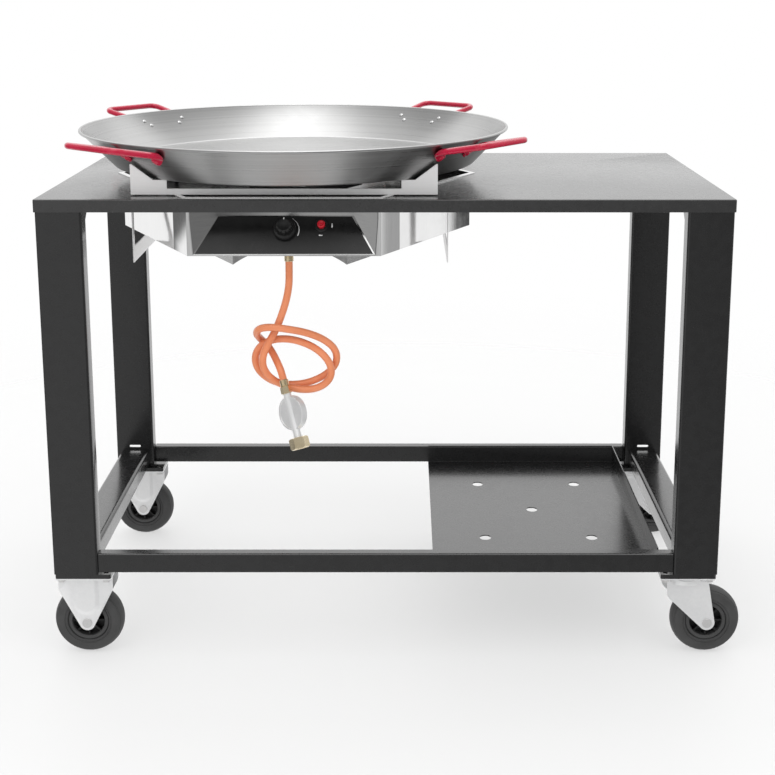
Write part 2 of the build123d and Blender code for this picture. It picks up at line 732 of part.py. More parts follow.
def recess_body(grow):
    """Gives the space of the tilted recess, grown outwards by a sheet."""
    low = TABLE_HEIGHT - PANEL_BOTTOM
    high = TABLE_HEIGHT - PANEL_TOP
    deeper = grow * PANEL_LENGTH / PANEL_RISE
    with BuildPart() as body:
        bottom = recess_level(low, PANEL_BOTTOM_WIDTH / 2, RECESS_TOE + deeper, grow)
        top = recess_level(high, RECESS_MOUTH_WIDTH / 2, PANEL_SETBACK + deeper, grow)
        loft(sections=[bottom, top], ruled=True)
        extrude(top, amount=PANEL_TOP - RECESS_ROOF + grow)
    return body.part


recess = recess_body(0)
FLOOR_TOP = TABLE_HEIGHT - HOUSING_DROP + HOUSING_SHEET
INLET = Vector(BURNER.X + INLET_X, BURNER.Y - HEX_FLAT + PANEL_SETBACK * KNOB_UP + INLET_BACK, 0)

with BuildPart() as housing:
    extrude(hexagon(HEX_SIDE, TABLE_HEIGHT - HOUSING_DROP), amount=HOUSING_DROP)
    inner_side = HEX_SIDE - HOUSING_SHEET * 2 / sqrt(3)
    extrude(hexagon(inner_side, FLOOR_TOP), amount=HOUSING_DROP - HOUSING_SHEET, mode=Mode.SUBTRACT)
    extrude(hexagon(HEX_SIDE + RIM_WIDTH * 2 / sqrt(3), TABLE_HEIGHT), amount=RIM_SHEET)
    extrude(hexagon(inner_side, TABLE_HEIGHT), amount=RIM_SHEET, mode=Mode.SUBTRACT)
    floor_hole = hexagon(FLOOR_HOLE_SIDE, TABLE_HEIGHT - HOUSING_DROP)
    extrude(floor_hole, amount=HOUSING_SHEET, mode=Mode.SUBTRACT)
    with BuildSketch(Plane.XY.offset(TABLE_HEIGHT - HOUSING_DROP)):
        with Locations((INLET.X, INLET.Y)):
            Circle(CONNECTOR_STEM_R + CONNECTOR_FIT)
    extrude(amount=HOUSING_SHEET, mode=Mode.SUBTRACT)
    add(recess, mode=Mode.SUBTRACT)
write(housing.part, "housing")


def panel_plane(across, share, proud):
    """Gives a plane square to the panel's axis, some way out from the panel's front face."""
    place = PANEL_FOOT + PANEL_UP * (PANEL_LENGTH * share) + Vector(across, 0, 0)
    place = place + PANEL_OUT * (PANEL_SHEET + proud)
    return Plane(origin=place, x_dir=(1, 0, 0), z_dir=PANEL_OUT)


SURROUND_BACK = -PANEL_SHEET - SURROUND_SHEET
with BuildPart() as panel_surround:
    add(recess_body(SURROUND_SHEET))
    add(recess, mode=Mode.SUBTRACT)
    split(bisect_by=Plane.XZ.offset(HEX_FLAT - HOUSING_SHEET - BURNER.Y), keep=Keep.BOTTOM)
    for across, share, radius in (
        (0, KNOB_UP, SPINDLE_HOLE_R),
        (IGNITER_X, IGNITER_UP, IGNITER_R + IGNITER_HOLE_FIT),
    ):
        with BuildSketch(panel_plane(across, share, 0)):
            Circle(radius)
        extrude(amount=-4 * PANEL_SHEET, mode=Mode.SUBTRACT)
write(panel_surround.part, "panel_surround")

with BuildPart() as control_panel:
    with BuildSketch(Plane(origin=PANEL_FOOT, x_dir=(1, 0, 0), z_dir=PANEL_OUT)):
        low_half = PANEL_BOTTOM_WIDTH / 2 - 2 * PANEL_MARGIN
        high_half = PANEL_TOP_WIDTH / 2 - PANEL_MARGIN
        with BuildLine():
            Polyline(
                (-low_half, PANEL_MARGIN),
                (low_half, PANEL_MARGIN),
                (high_half, PANEL_LENGTH - PANEL_MARGIN),
                (-high_half, PANEL_LENGTH - PANEL_MARGIN),
                close=True,
            )
        make_face()
        with Locations((0, PANEL_LENGTH * KNOB_UP)):
            Circle(SPINDLE_HOLE_R, mode=Mode.SUBTRACT)
        with Locations((IGNITER_X, PANEL_LENGTH * IGNITER_UP)):
            Circle(IGNITER_R + IGNITER_HOLE_FIT, mode=Mode.SUBTRACT)
    extrude(amount=PANEL_SHEET)
write(control_panel.part, "control_panel")

# Lower shroud: a smaller hexagon under the floor, its front and back edges arched
SHROUD_TOP = TABLE_HEIGHT - HOUSING_DROP
with BuildPart() as lower_shroud:
    extrude(hexagon(SHROUD_SIDE, SHROUD_TOP), amount=-SHROUD_DROP)
    shroud_inner = SHROUD_SIDE - HOUSING_SHEET * 2 / sqrt(3)
    extrude(hexagon(shroud_inner, SHROUD_TOP), amount=-SHROUD_DROP, mode=Mode.SUBTRACT)
    with BuildSketch(Plane(origin=BURNER, x_dir=(1, 0, 0), z_dir=(0, -1, 0))):
        low = -HOUSING_DROP - SHROUD_DROP
        span = SHROUD_SIDE / 2
        with BuildLine():
            ThreePointArc((-span, low), (0, low + SHROUD_ARCH), (span, low))
            Line((span, low), (-span, low))
        make_face()
    extrude(amount=SHROUD_SIDE, both=True, mode=Mode.SUBTRACT)
write(lower_shroud.part, "lower_shroud")

# Feet: U-shaped plates under the table, each with two posts and a runner
for side, sign in SIDES.items():
    with BuildPart() as foot:
        with BuildSketch(Plane.YZ.offset(BURNER.X + sign * FOOT_X)):
            runner_low = TABLE_HEIGHT - FOOT_DROP
            runner_high = runner_low + FOOT_RUNNER
            post_in = FOOT_HALF_DEPTH - FOOT_POST
            with BuildLine():
                Polyline(
                    (-FOOT_HALF_DEPTH, TABLE_UNDER),
                    (-FOOT_HALF_DEPTH, runner_low),
                    (FOOT_HALF_DEPTH, runner_low),
                    (FOOT_HALF_DEPTH, TABLE_UNDER),
                    (post_in, TABLE_UNDER),
                    (post_in, runner_high),
                    (-post_in, runner_high),
                    (-post_in, TABLE_UNDER),
                    close=True,
                )
            make_face()
        extrude(amount=sign * FOOT_SHEET)
    write(foot.part, f"foot_{side}")


# Pan support plates: a low bar, a step for the pan and a raised tip at each end
def support_outline(plane, half):
    """Gives one notched support plate on an upright plane through the burner's middle."""
    base = RIM_SHEET
    step_from = SUPPORT_HALF - SUPPORT_STEP_FROM
    step_to = SUPPORT_HALF - SUPPORT_STEP_TO
    tip = half - SUPPORT_TIP_FLAT
    with BuildSketch(plane) as outline:
        with BuildLine():
            Polyline(
                (-half, base),
                (half, base),
                (half, SUPPORT_TIP_TOP),
                (tip, SUPPORT_TIP_TOP),
                (step_to, SUPPORT_STEP_TOP),
                (step_from, SUPPORT_STEP_TOP),
                (step_from, SUPPORT_BAR_TOP),
                (-step_from, SUPPORT_BAR_TOP),
                (-step_from, SUPPORT_STEP_TOP),
                (-step_to, SUPPORT_STEP_TOP),
                (-tip, SUPPORT_TIP_TOP),
                (-half, SUPPORT_TIP_TOP),
                close=True,
            )
        make_face()
    return outline.sketch


for name, sign in {"front": -1, "back": 1}.items():
    with BuildPart() as support:
        upright = Plane(BURNER + Vector(0, sign * SUPPORT_HALF, 0), x_dir=(1, 0, 0), z_dir=(0, -1, 0))
        extrude(support_outline(upright, SUPPORT_HALF), amount=sign * SUPPORT_SHEET)
    write(support.part, f"support_plate_{name}")

for name, sign in SIDES.items():
    with BuildPart() as support:
        upright = Plane(BURNER + Vector(sign * SUPPORT_HALF, 0, 0), x_dir=(0, 1, 0), z_dir=(1, 0, 0))
        extrude(support_outline(upright, SUPPORT_HALF - SUPPORT_SHEET), amount=-sign * SUPPORT_SHEET)
    write(support.part, f"support_plate_{name}")

# Star burner: a hub, six ported arms, three cast legs and a boss for the venturi
ARM_TOP = TABLE_HEIGHT - ARM_TOP_DROP
VENTURI_Z = TABLE_HEIGHT - VENTURI_DROP
with BuildPart() as star_burner:
    with BuildSketch(Plane(origin=(BURNER.X, BURNER.Y, ARM_TOP))):
        Circle(STAR_HUB_R)
    extrude(amount=-STAR_HUB_HEIGHT)
    with BuildSketch(Plane(origin=(BURNER.X, BURNER.Y, ARM_TOP))):
        with PolarLocations(STAR_REACH / 2, STAR_ARMS):
            SlotOverall(STAR_REACH, ARM_WIDTH)
    extrude(amount=-ARM_HEIGHT)
    with BuildSketch(Plane(origin=(BURNER.X, BURNER.Y, FLOOR_TOP))):
        with PolarLocations(STAR_LEG_AT, STAR_ARMS // 2):
            Circle(STAR_LEG_R)
    extrude(amount=ARM_TOP - ARM_HEIGHT - FLOOR_TOP)
    with BuildSketch(Plane(origin=(BURNER.X, BURNER.Y, VENTURI_Z), x_dir=(1, 0, 0), z_dir=(0, -1, 0))):
        Circle(VENTURI_BOSS_R, mode=Mode.ADD)
    extrude(amount=VENTURI_SEAT_Y)
    with BuildSketch(Plane(origin=(BURNER.X, BURNER.Y, ARM_TOP))):
        for port in range(ARM_PORTS):
            with PolarLocations(ARM_PORT_FIRST + port * ARM_PORT_PITCH, STAR_ARMS):
                Circle(ARM_PORT_R)
    extrude(amount=-ARM_PORT_DEPTH, mode=Mode.SUBTRACT)
    with BuildSketch(
        Plane(
            origin=(BURNER.X, BURNER.Y - VENTURI_SEAT_Y, VENTURI_Z), x_dir=(1, 0, 0), z_dir=(0, -1, 0)
        )
    ):
        Circle(VENTURI_BORE_R)
    extrude(amount=-VENTURI_SEAT_Y / 2, mode=Mode.SUBTRACT)
write(star_burner.part, "star_burner")

with BuildPart() as venturi_tube:
    tube_plane = Plane(origin=(BURNER.X, BURNER.Y, VENTURI_Z), x_dir=(0, -1, 0), z_dir=(1, 0, 0))
    flare_from = VENTURI_MOUTH_Y - VENTURI_FLARE
    wall = VENTURI_R - VENTURI_BORE_R
    with BuildSketch(tube_plane):
        with BuildLine():
            Polyline(
                (VENTURI_SEAT_Y, -VENTURI_R),
                (flare_from, -VENTURI_R),
                (VENTURI_MOUTH_Y, -VENTURI_MOUTH_R),
                (VENTURI_MOUTH_Y, -VENTURI_MOUTH_R + wall),
                (flare_from, -VENTURI_BORE_R),
                (VENTURI_SEAT_Y, -VENTURI_BORE_R),
                close=True,
            )
        make_face()
    revolve(axis=Axis((BURNER.X, BURNER.Y, VENTURI_Z), (0, 1, 0)))
write(venturi_tube.part, "venturi_tube")

# Gas valve: a body behind the panel with a bore for the plug, an inlet and a jet
VALVE_FACE = SURROUND_BACK
PLUG_FRONT = VALVE_FACE - VALVE_NOSE
with BuildPart() as gas_valve:
    with BuildSketch(panel_plane(0, KNOB_UP, VALVE_FACE)):
        Circle(VALVE_R)
    extrude(amount=-VALVE_LENGTH)
    body_mid = panel_plane(0, KNOB_UP, VALVE_FACE - VALVE_LENGTH / 2).origin
    with BuildSketch(Plane(origin=(INLET.X, INLET.Y, FLOOR_TOP))):
        Circle(INLET_R)
    extrude(amount=body_mid.Z - FLOOR_TOP)
    jet_end = BURNER.Y - VENTURI_MOUTH_Y
    with BuildSketch(Plane(origin=(BURNER.X, jet_end, VENTURI_Z), x_dir=(1, 0, 0), z_dir=(0, 1, 0))):
        Circle(JET_R)
    extrude(amount=-JET_LENGTH)
    with BuildSketch(Plane(origin=(BURNER.X, jet_end, VENTURI_Z), x_dir=(1, 0, 0), z_dir=(0, 1, 0))):
        Circle(JET_R)
    extrude(amount=JET_TIP_R, taper=40)
    with BuildSketch(panel_plane(0, KNOB_UP, VALVE_FACE)):
        Circle(SPINDLE_R + RUNNING_FIT + FLAT_CLEARANCE)
    extrude(amount=-VALVE_NOSE, mode=Mode.SUBTRACT)
    with BuildSketch(panel_plane(0, KNOB_UP, PLUG_FRONT)):
        Circle(PLUG_R + RUNNING_FIT)
    extrude(amount=-PLUG_LENGTH - 2 * FLAT_CLEARANCE, mode=Mode.SUBTRACT)
    with BuildSketch(Plane(origin=(INLET.X, INLET.Y, FLOOR_TOP))):
        Circle(CONNECTOR_STEM_R + CONNECTOR_FIT)
    extrude(amount=CONNECTOR_STEM, mode=Mode.SUBTRACT)
write(gas_valve.part, "gas_valve")

SPINDLE_END = PLUG_FRONT - SPINDLE_REACH / 2
with BuildPart() as valve_plug:
    with BuildSketch(panel_plane(0, KNOB_UP, PLUG_FRONT - FLAT_CLEARANCE)):
        Circle(PLUG_R)
        Circle(SPINDLE_R + RUNNING_FIT, mode=Mode.SUBTRACT)
    extrude(amount=-PLUG_LENGTH)
    with BuildSketch(panel_plane(0, KNOB_UP, PLUG_FRONT - FLAT_CLEARANCE - PLUG_LENGTH)):
        Circle(PLUG_R)
    extrude(amount=PLUG_LENGTH - SPINDLE_REACH / 2 - KNOB_TRAVEL - FLAT_CLEARANCE)
write(valve_plug.part, "valve_plug")

KNOB_BASE = KNOB_TRAVEL + KNOB_GAP
SPINDLE_TOP = KNOB_BASE + KNOB_HEIGHT - KNOB_WALL
with BuildPart() as valve_spindle:
    with BuildSketch(panel_plane(0, KNOB_UP, SPINDLE_TOP)):
        Circle(SPINDLE_R)
    extrude(amount=SPINDLE_END - SPINDLE_TOP)
write(valve_spindle.part, "valve_spindle")

# Knob: a sloped skirt and a fluted grip that narrows to a flat top
with BuildPart() as knob:
    with BuildSketch(panel_plane(0, KNOB_UP, KNOB_BASE)):
        Circle(KNOB_R)
    extrude(amount=KNOB_SKIRT, taper=18)
    grip = KNOB_HEIGHT - KNOB_SKIRT
    with BuildSketch(panel_plane(0, KNOB_UP, KNOB_BASE + KNOB_SKIRT)):
        Circle(KNOB_GRIP_R)
        with PolarLocations(KNOB_GRIP_R + KNOB_FLUTE_R / 3, KNOB_FLUTES, start_angle=HALF_TURN / KNOB_FLUTES):
            Circle(KNOB_FLUTE_R, mode=Mode.SUBTRACT)
    extrude(amount=grip, taper=degrees(atan2(KNOB_GRIP_R - KNOB_TOP_R, grip)))
    with BuildSketch(panel_plane(0, KNOB_UP, KNOB_BASE)):
        Circle(SPINDLE_R + RUNNING_FIT)
    extrude(amount=KNOB_HEIGHT - KNOB_WALL, mode=Mode.SUBTRACT)
write(knob.part, "knob")

# Igniter: a body with a bezel through the panel and a button sliding in its bore
BUTTON_BORE = BUTTON_LENGTH - BUTTON_PROUD + BUTTON_TRAVEL + FLAT_CLEARANCE
with BuildPart() as igniter_body:
    with BuildSketch(panel_plane(IGNITER_X, IGNITER_UP, 0)):
        Circle(BEZEL_R)
    extrude(amount=BEZEL_HEIGHT, taper=15)
    with BuildSketch(panel_plane(IGNITER_X, IGNITER_UP, 0)):
        Circle(IGNITER_R)
    extrude(amount=-IGNITER_LENGTH)
    with BuildSketch(panel_plane(IGNITER_X, IGNITER_UP, BEZEL_HEIGHT)):
        Circle(BUTTON_R + RUNNING_FIT)
    extrude(amount=-BUTTON_BORE - BEZEL_HEIGHT, mode=Mode.SUBTRACT)
write(igniter_body.part, "igniter_body")

with BuildPart() as igniter_button:
    with BuildSketch(panel_plane(IGNITER_X, IGNITER_UP, BUTTON_PROUD)):
        Circle(BUTTON_R)
    extrude(amount=-BUTTON_LENGTH)
    fillet(igniter_button.edges().sort_by(Axis(PANEL_FOOT, PANEL_OUT))[-1], BUTTON_EDGE_R)
write(igniter_button.part, "igniter_button")


# Probes beside the burner's front arms, each held by a clip on the arm's side
def probe_place(arm_angle, turn):
    """Gives the plan position of a probe beside one burner arm."""
    along = Vector(cos(radians(arm_angle)), sin(radians(arm_angle)), 0)
    aside = Vector(-along.Y, along.X, 0) * turn
    return Vector(BURNER.X, BURNER.Y, 0) + along * PROBE_AT + aside * PROBE_ASIDE


def probe_clip(arm_angle, turn):
    """Gives the clip's outline, from the arm's side to past the probe."""
    along = (cos(radians(arm_angle)), sin(radians(arm_angle)), 0)
    low = ARM_TOP - ARM_HEIGHT / 2 - PROBE_CLIP_HEIGHT / 2
    width = 2 * (PROBE_ASIDE - ARM_WIDTH / 2)
    with BuildSketch(Plane(origin=(BURNER.X, BURNER.Y, low), x_dir=along)) as outline:
        with Locations((PROBE_AT, turn * PROBE_ASIDE)):
            Rectangle(PROBE_CLIP, width)
    return outline.sketch


LOW_Z = TABLE_HEIGHT - PROBE_LOW_DROP
PROBE_TOP = TABLE_HEIGHT - PROBE_TOP_DROP
with BuildPart() as thermocouple:
    tip = probe_place(240, 1)
    root = panel_plane(-THERMOCOUPLE_ASIDE, KNOB_UP, VALVE_FACE - VALVE_LENGTH).origin
    bend = root - PANEL_OUT * PROBE_START
    with BuildLine():
        rod_line = FilletPolyline(
            root,
            bend,
            (BURNER.X - PROBE_DIP_X, BURNER.Y - PROBE_DIP_Y, LOW_Z),
            (tip.X, tip.Y - PROBE_RUN, LOW_Z),
            (tip.X, tip.Y, LOW_Z),
            (tip.X, tip.Y, PROBE_TOP),
            radius=PROBE_BEND_R,
        )
    with BuildSketch(Plane(origin=root, z_dir=rod_line % 0)):
        Circle(THERMOCOUPLE_R)
    sweep(path=rod_line)
    extrude(probe_clip(240, 1), amount=PROBE_CLIP_HEIGHT)
write(thermocouple.part, "thermocouple")

with BuildPart() as electrode:
    tip = probe_place(300, -1)
    root = panel_plane(IGNITER_X, IGNITER_UP, -IGNITER_LENGTH).origin
    bend = root - PANEL_OUT * PROBE_START
    ceramic_top = PROBE_TOP - ELECTRODE_TIP / 2
    with BuildLine():
        lead_line = FilletPolyline(
            root,
            bend,
            (root.X, BURNER.Y - LEAD_DIP_Y, LOW_Z),
            (tip.X, tip.Y - LEAD_RUN, LOW_Z),
            (tip.X, tip.Y, LOW_Z),
            (tip.X, tip.Y, ceramic_top - ELECTRODE_LENGTH),
            radius=PROBE_BEND_R,
        )
    with BuildSketch(Plane(origin=root, z_dir=lead_line % 0)):
        Circle(LEAD_R)
    sweep(path=lead_line)
    with BuildSketch(Plane(origin=(tip.X, tip.Y, ceramic_top))):
        Circle(ELECTRODE_R)
    extrude(amount=-ELECTRODE_LENGTH)
    with BuildSketch(Plane(origin=(tip.X, tip.Y, ceramic_top))):
        Circle(ELECTRODE_TIP_R)
    extrude(amount=ELECTRODE_TIP)
    extrude(probe_clip(300, -1), amount=PROBE_CLIP_HEIGHT)
write(electrode.part, "electrode")

# Hose connector: a nut under the floor, a stem into the valve and a ferrule for the hose
NUT_TOP = TABLE_HEIGHT - HOUSING_DROP
with BuildPart() as hose_connector:
    with BuildSketch(Plane(origin=(INLET.X, INLET.Y, NUT_TOP))):
        RegularPolygon(hex_across(CONNECTOR_NUT_AF), 6)
    extrude(amount=-CONNECTOR_NUT)
    with BuildSketch(Plane(origin=(INLET.X, INLET.Y, NUT_TOP))):
        Circle(CONNECTOR_STEM_R)
    extrude(amount=HOUSING_SHEET + CONNECTOR_STEM)
    with BuildSketch(Plane(origin=(INLET.X, INLET.Y, NUT_TOP - CONNECTOR_NUT))):
        Circle(FERRULE_R)
    extrude(amount=-FERRULE)
write(hose_connector.part, "hose_connector")

# Gas hose: down from the connector, two loose loops, a wrap round them and down to the regulator
HOSE_START = Vector(INLET.X, INLET.Y, NUT_TOP - CONNECTOR_NUT - FERRULE)
hose_points = [HOSE_START + Vector(*step) for step in HOSE_ROUTE]
hose_bends = []
for before, here, after in zip(hose_points, hose_points[1:], hose_points[2:]):
    first = here - before
    second = after - here
    half_turn = radians(first.get_angle(second)) / 2
    hose_bends.append(0.45 * min(first.length, second.length) / tan(half_turn))

with BuildPart() as gas_hose:
    with BuildLine():
        hose_line = FilletPolyline(*hose_points, radius=hose_bends)
    with BuildSketch(Plane(origin=hose_points[0], z_dir=hose_line % 0)):
        Circle(HOSE_R)
    sweep(path=hose_line)
write(gas_hose.part, "gas_hose")

HOSE_SAMPLES = 520
samples = [hose_line @ (index / HOSE_SAMPLES) for index in range(HOSE_SAMPLES + 1)]
sample_step = hose_line.length / HOSE_SAMPLES
apart = int(4 * pi * HOSE_R / sample_step)
least_gap = min(
    (samples[one] - samples[two]).length - 2 * HOSE_R
    for one in range(HOSE_SAMPLES + 1)
    for two in range(one + apart, HOSE_SAMPLES + 1)
)
swept = pi * HOSE_R**2 * hose_line.length
print("hose least bend radius", round(min(hose_bends), 2))
print("hose least gap to itself", round(least_gap, 2))
print("hose volume against section times length", round(gas_hose.part.volume / swept, 4))

# Regulator, along the hose's last run: the stem stands out across the face of a rimmed disc
HOSE_END = hose_points[-1]
REG_AXIS = (hose_points[-1] - hose_points[-2]).normalized()
REG_ACROSS = REG_AXIS.cross(Vector(0, 0, 1)).normalized()
REG_FROM = TAIL_FERRULE + TAIL_HEX


def hanging_plane(along):
    """Gives a plane square to the regulator's axis, some way from the hose's end."""
    return Plane(origin=HOSE_END + REG_AXIS * along, x_dir=REG_ACROSS, z_dir=REG_AXIS)


with BuildPart() as hose_tail:
    with BuildSketch(hanging_plane(0)):
        Circle(FERRULE_R)
    extrude(amount=TAIL_FERRULE)
    with BuildSketch(hanging_plane(TAIL_FERRULE)):
        RegularPolygon(hex_across(TAIL_HEX_AF), 6)
    extrude(amount=TAIL_HEX)
write(hose_tail.part, "hose_tail")

front_way = Vector(0, -1, 0)
facing = (front_way - REG_AXIS * front_way.dot(REG_AXIS)).normalized()
facing = facing.rotate(Axis((0, 0, 0), REG_AXIS), REG_TURN)
with BuildPart() as regulator_body:
    with BuildSketch(hanging_plane(REG_FROM)):
        Circle(REG_STEM_R)
    extrude(amount=REG_STEM)
    with BuildSketch(hanging_plane(REG_FROM + REG_STEM)):
        Circle(STEM_LIP_R)
    extrude(amount=-STEM_LIP)
    disc_plane = Plane(
        origin=HOSE_END + REG_AXIS * (REG_FROM + REG_DISC_AT), x_dir=REG_AXIS, z_dir=facing
    )
    with BuildSketch(disc_plane.offset(REG_DISC_FRONT)):
        Circle(REG_DISC_R)
    extrude(amount=-REG_DISC)
    with BuildSketch(disc_plane.offset(REG_DISC_FRONT)):
        Circle(REG_DISC_R)
        Circle(REG_DISC_R - REG_RIM, mode=Mode.SUBTRACT)
    extrude(amount=REG_RIM_HEIGHT)
    with BuildSketch(disc_plane.offset(REG_DISC_FRONT - REG_DISC)):
        Circle(REG_BONNET_R)
    extrude(amount=-REG_BONNET, taper=30)
write(regulator_body.part, "regulator_body")

UNION_FROM = REG_FROM + REG_STEM + UNION_BORE - UNION_LENGTH
with BuildPart() as regulator_nut:
    with BuildSketch(hanging_plane(UNION_FROM)):
        RegularPolygon(hex_across(UNION_AF), 6)
    extrude(amount=UNION_LENGTH)
    with BuildSketch(hanging_plane(UNION_FROM)):
        Circle(REG_STEM_R + UNION_COLLAR_FIT)
    extrude(amount=UNION_LENGTH, mode=Mode.SUBTRACT)
    with BuildSketch(hanging_plane(REG_FROM + REG_STEM)):
        Circle(UNION_BORE_R)
    extrude(amount=UNION_BORE, mode=Mode.SUBTRACT)
    with BuildSketch(hanging_plane(REG_FROM + REG_STEM)):
        Circle(UNION_POCKET_R)
    extrude(amount=-STEM_LIP, mode=Mode.SUBTRACT)
write(regulator_nut.part, "regulator_nut")

# Pan: a flat base, a sloped wall and a rolled rim, with rivet holes for the handles
WALL_RISE = PAN_HEIGHT - PAN_BEAD_R
WALL_RUN = PAN_RIM_R - PAN_BEAD_R - PAN_BASE_R
WALL_TILT = atan2(WALL_RISE, WALL_RUN)
PAD_RISE = TABLE_HEIGHT + HANDLE_PAD_TOP - PAN_BOTTOM
PAD_R = PAN_BASE_R + PAD_RISE / tan(WALL_TILT)
HANDLES = {
    "back_right": HANDLE_ANGLE,
    "back_left": HANDLE_ANGLE + 90,
    "front_left": HANDLE_ANGLE + 180,
    "front_right": HANDLE_ANGLE + 270,
}
PAD_SWING = degrees(asin(HANDLE_PADS / 2 / PAD_R))
HANDLE_REACH = PAN_RIM_R + HANDLE_OVERHANG
ROD_FROM = RIVET_PITCH / 2 + ROD_PAST_RIVET


def pad_plane(angle, lean):
    """Gives the plane of a handle's pad, just off the pan's wall, with its X leaning up the wall."""
    turn = radians(angle)
    out = Vector(sin(WALL_TILT) * cos(turn), sin(WALL_TILT) * sin(turn), -cos(WALL_TILT))
    along = Vector(-sin(turn), cos(turn), 0)
    leaning = along * cos(radians(lean)) + out.cross(along) * sin(radians(lean))
    place = Vector(BURNER.X + PAD_R * cos(turn), BURNER.Y + PAD_R * sin(turn), PAN_BOTTOM + PAD_RISE)
    return Plane(origin=place + out * SEAT_GAP, x_dir=leaning, z_dir=out)


pad_planes = {}
for name, angle in HANDLES.items():
    pad_planes[name] = [pad_plane(angle + side * PAD_SWING, side * HANDLE_PAD_LEAN) for side in (-1, 1)]

with BuildPart() as pan:
    with BuildSketch(Plane(origin=(BURNER.X, BURNER.Y, PAN_BOTTOM), x_dir=(1, 0, 0), z_dir=(0, -1, 0))):
        with BuildLine():
            FilletPolyline(
                (0, 0), (PAN_BASE_R, 0), (PAN_BASE_R + WALL_RUN, WALL_RISE), radius=PAN_BEND_R
            )
            offset(amount=PAN_SHEET, side=Side.LEFT)
        make_face()
        with Locations((PAN_BASE_R + WALL_RUN, WALL_RISE)):
            Circle(PAN_BEAD_R)
    revolve(axis=Axis((BURNER.X, BURNER.Y, 0), (0, 0, 1)))
    for planes in pad_planes.values():
        for plane in planes:
            with BuildSketch(plane):
                with GridLocations(RIVET_PITCH, 0, 2, 1):
                    Circle(RIVET_R + RIVET_FIT)
            extrude(amount=2 * PAN_SHEET, both=True, mode=Mode.SUBTRACT)
write(pan.part, "pan")

# Handles: a bent rod between two oval pads, which lean towards each other down the pan's wall
for name, angle in HANDLES.items():
    middle = Plane(
        origin=(BURNER.X, BURNER.Y, TABLE_HEIGHT),
        x_dir=(cos(radians(angle)), sin(radians(angle)), 0),
        z_dir=(0, 0, 1),
    )
    start, end = (
        plane.origin + plane.x_dir * (side * ROD_FROM) + plane.z_dir * ROD_LIFT
        for plane, side in zip(pad_planes[name], (-1, 1))
    )
    with BuildPart() as handle:
        with BuildLine():
            grip_line = FilletPolyline(
                start,
                middle.from_local_coords(Vector(HANDLE_REACH, -HANDLE_LENGTH / 2, HANDLE_TOP)),
                middle.from_local_coords(Vector(HANDLE_REACH, HANDLE_LENGTH / 2, HANDLE_TOP)),
                end,
                radius=HANDLE_BEND_R,
            )
        with BuildSketch(Plane(origin=start, z_dir=grip_line % 0)):
            Circle(HANDLE_ROD_R)
        sweep(path=grip_line)
        for plane in pad_planes[name]:
            with BuildSketch(plane):
                SlotOverall(HANDLE_PAD_LENGTH, HANDLE_PAD_WIDTH)
            extrude(amount=HANDLE_PAD)
            with BuildSketch(plane):
                with GridLocations(RIVET_PITCH, 0, 2, 1):
                    Circle(RIVET_R + RIVET_FIT)
            extrude(amount=HANDLE_PAD, mode=Mode.SUBTRACT)
    write(handle.part, f"handle_{name}")

# Rivets: two through each pad, with a low head inside the pan and one on the pad
with BuildPart() as pan_rivets:
    for planes in pad_planes.values():
        for plane in planes:
            inside = plane.offset(-PAN_SHEET - RIVET_INSIDE)
            with BuildSketch(inside):
                with GridLocations(RIVET_PITCH, 0, 2, 1):
                    Circle(RIVET_R)
            extrude(amount=PAN_SHEET + RIVET_INSIDE + HANDLE_PAD)
            with BuildSketch(inside):
                with GridLocations(RIVET_PITCH, 0, 2, 1):
                    Circle(RIVET_HEAD_R)
            extrude(amount=-RIVET_HEAD, taper=35)
            with BuildSketch(plane.offset(HANDLE_PAD)):
                with GridLocations(RIVET_PITCH, 0, 2, 1):
                    Circle(RIVET_HEAD_R)
            extrude(amount=RIVET_HEAD, taper=35)
write(pan_rivets.part, "pan_rivets")
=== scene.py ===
"""Looks of a gas paella burner in a wheeled worktable, built round its solid frame.

Each sub-assembly of the object is a class, which holds the sizes of the pieces that it makes,
in metres, builds their meshes in place and dresses them in a finish.
X runs along the table to the right, Y from front to back, Z up.
"""

import json
import logging
import math
from collections.abc import Callable, Iterable, Sequence
from dataclasses import dataclass, field, replace
from enum import Enum
from functools import cache

import bmesh
import bpy
from mathutils import Matrix, Vector

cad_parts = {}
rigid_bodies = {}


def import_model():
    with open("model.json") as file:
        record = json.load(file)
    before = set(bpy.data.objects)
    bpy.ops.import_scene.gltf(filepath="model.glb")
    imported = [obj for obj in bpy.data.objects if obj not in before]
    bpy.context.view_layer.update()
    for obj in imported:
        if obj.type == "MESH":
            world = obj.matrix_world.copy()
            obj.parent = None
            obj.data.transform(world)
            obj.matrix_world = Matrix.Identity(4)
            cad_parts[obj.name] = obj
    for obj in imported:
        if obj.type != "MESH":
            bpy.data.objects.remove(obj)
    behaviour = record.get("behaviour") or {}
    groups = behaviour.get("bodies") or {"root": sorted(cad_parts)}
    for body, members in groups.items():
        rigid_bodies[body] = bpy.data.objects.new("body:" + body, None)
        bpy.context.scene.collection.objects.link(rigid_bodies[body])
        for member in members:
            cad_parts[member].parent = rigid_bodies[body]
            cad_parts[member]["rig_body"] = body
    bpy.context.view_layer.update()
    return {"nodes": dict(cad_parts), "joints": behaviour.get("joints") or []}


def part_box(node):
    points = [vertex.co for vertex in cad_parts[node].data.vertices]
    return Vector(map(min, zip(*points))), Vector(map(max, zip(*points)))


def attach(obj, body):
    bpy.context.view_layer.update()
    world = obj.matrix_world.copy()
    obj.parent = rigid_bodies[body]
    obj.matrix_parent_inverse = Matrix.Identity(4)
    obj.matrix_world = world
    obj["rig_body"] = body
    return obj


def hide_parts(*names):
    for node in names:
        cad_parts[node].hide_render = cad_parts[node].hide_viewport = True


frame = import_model()
LOG = logging.getLogger("burner_table")

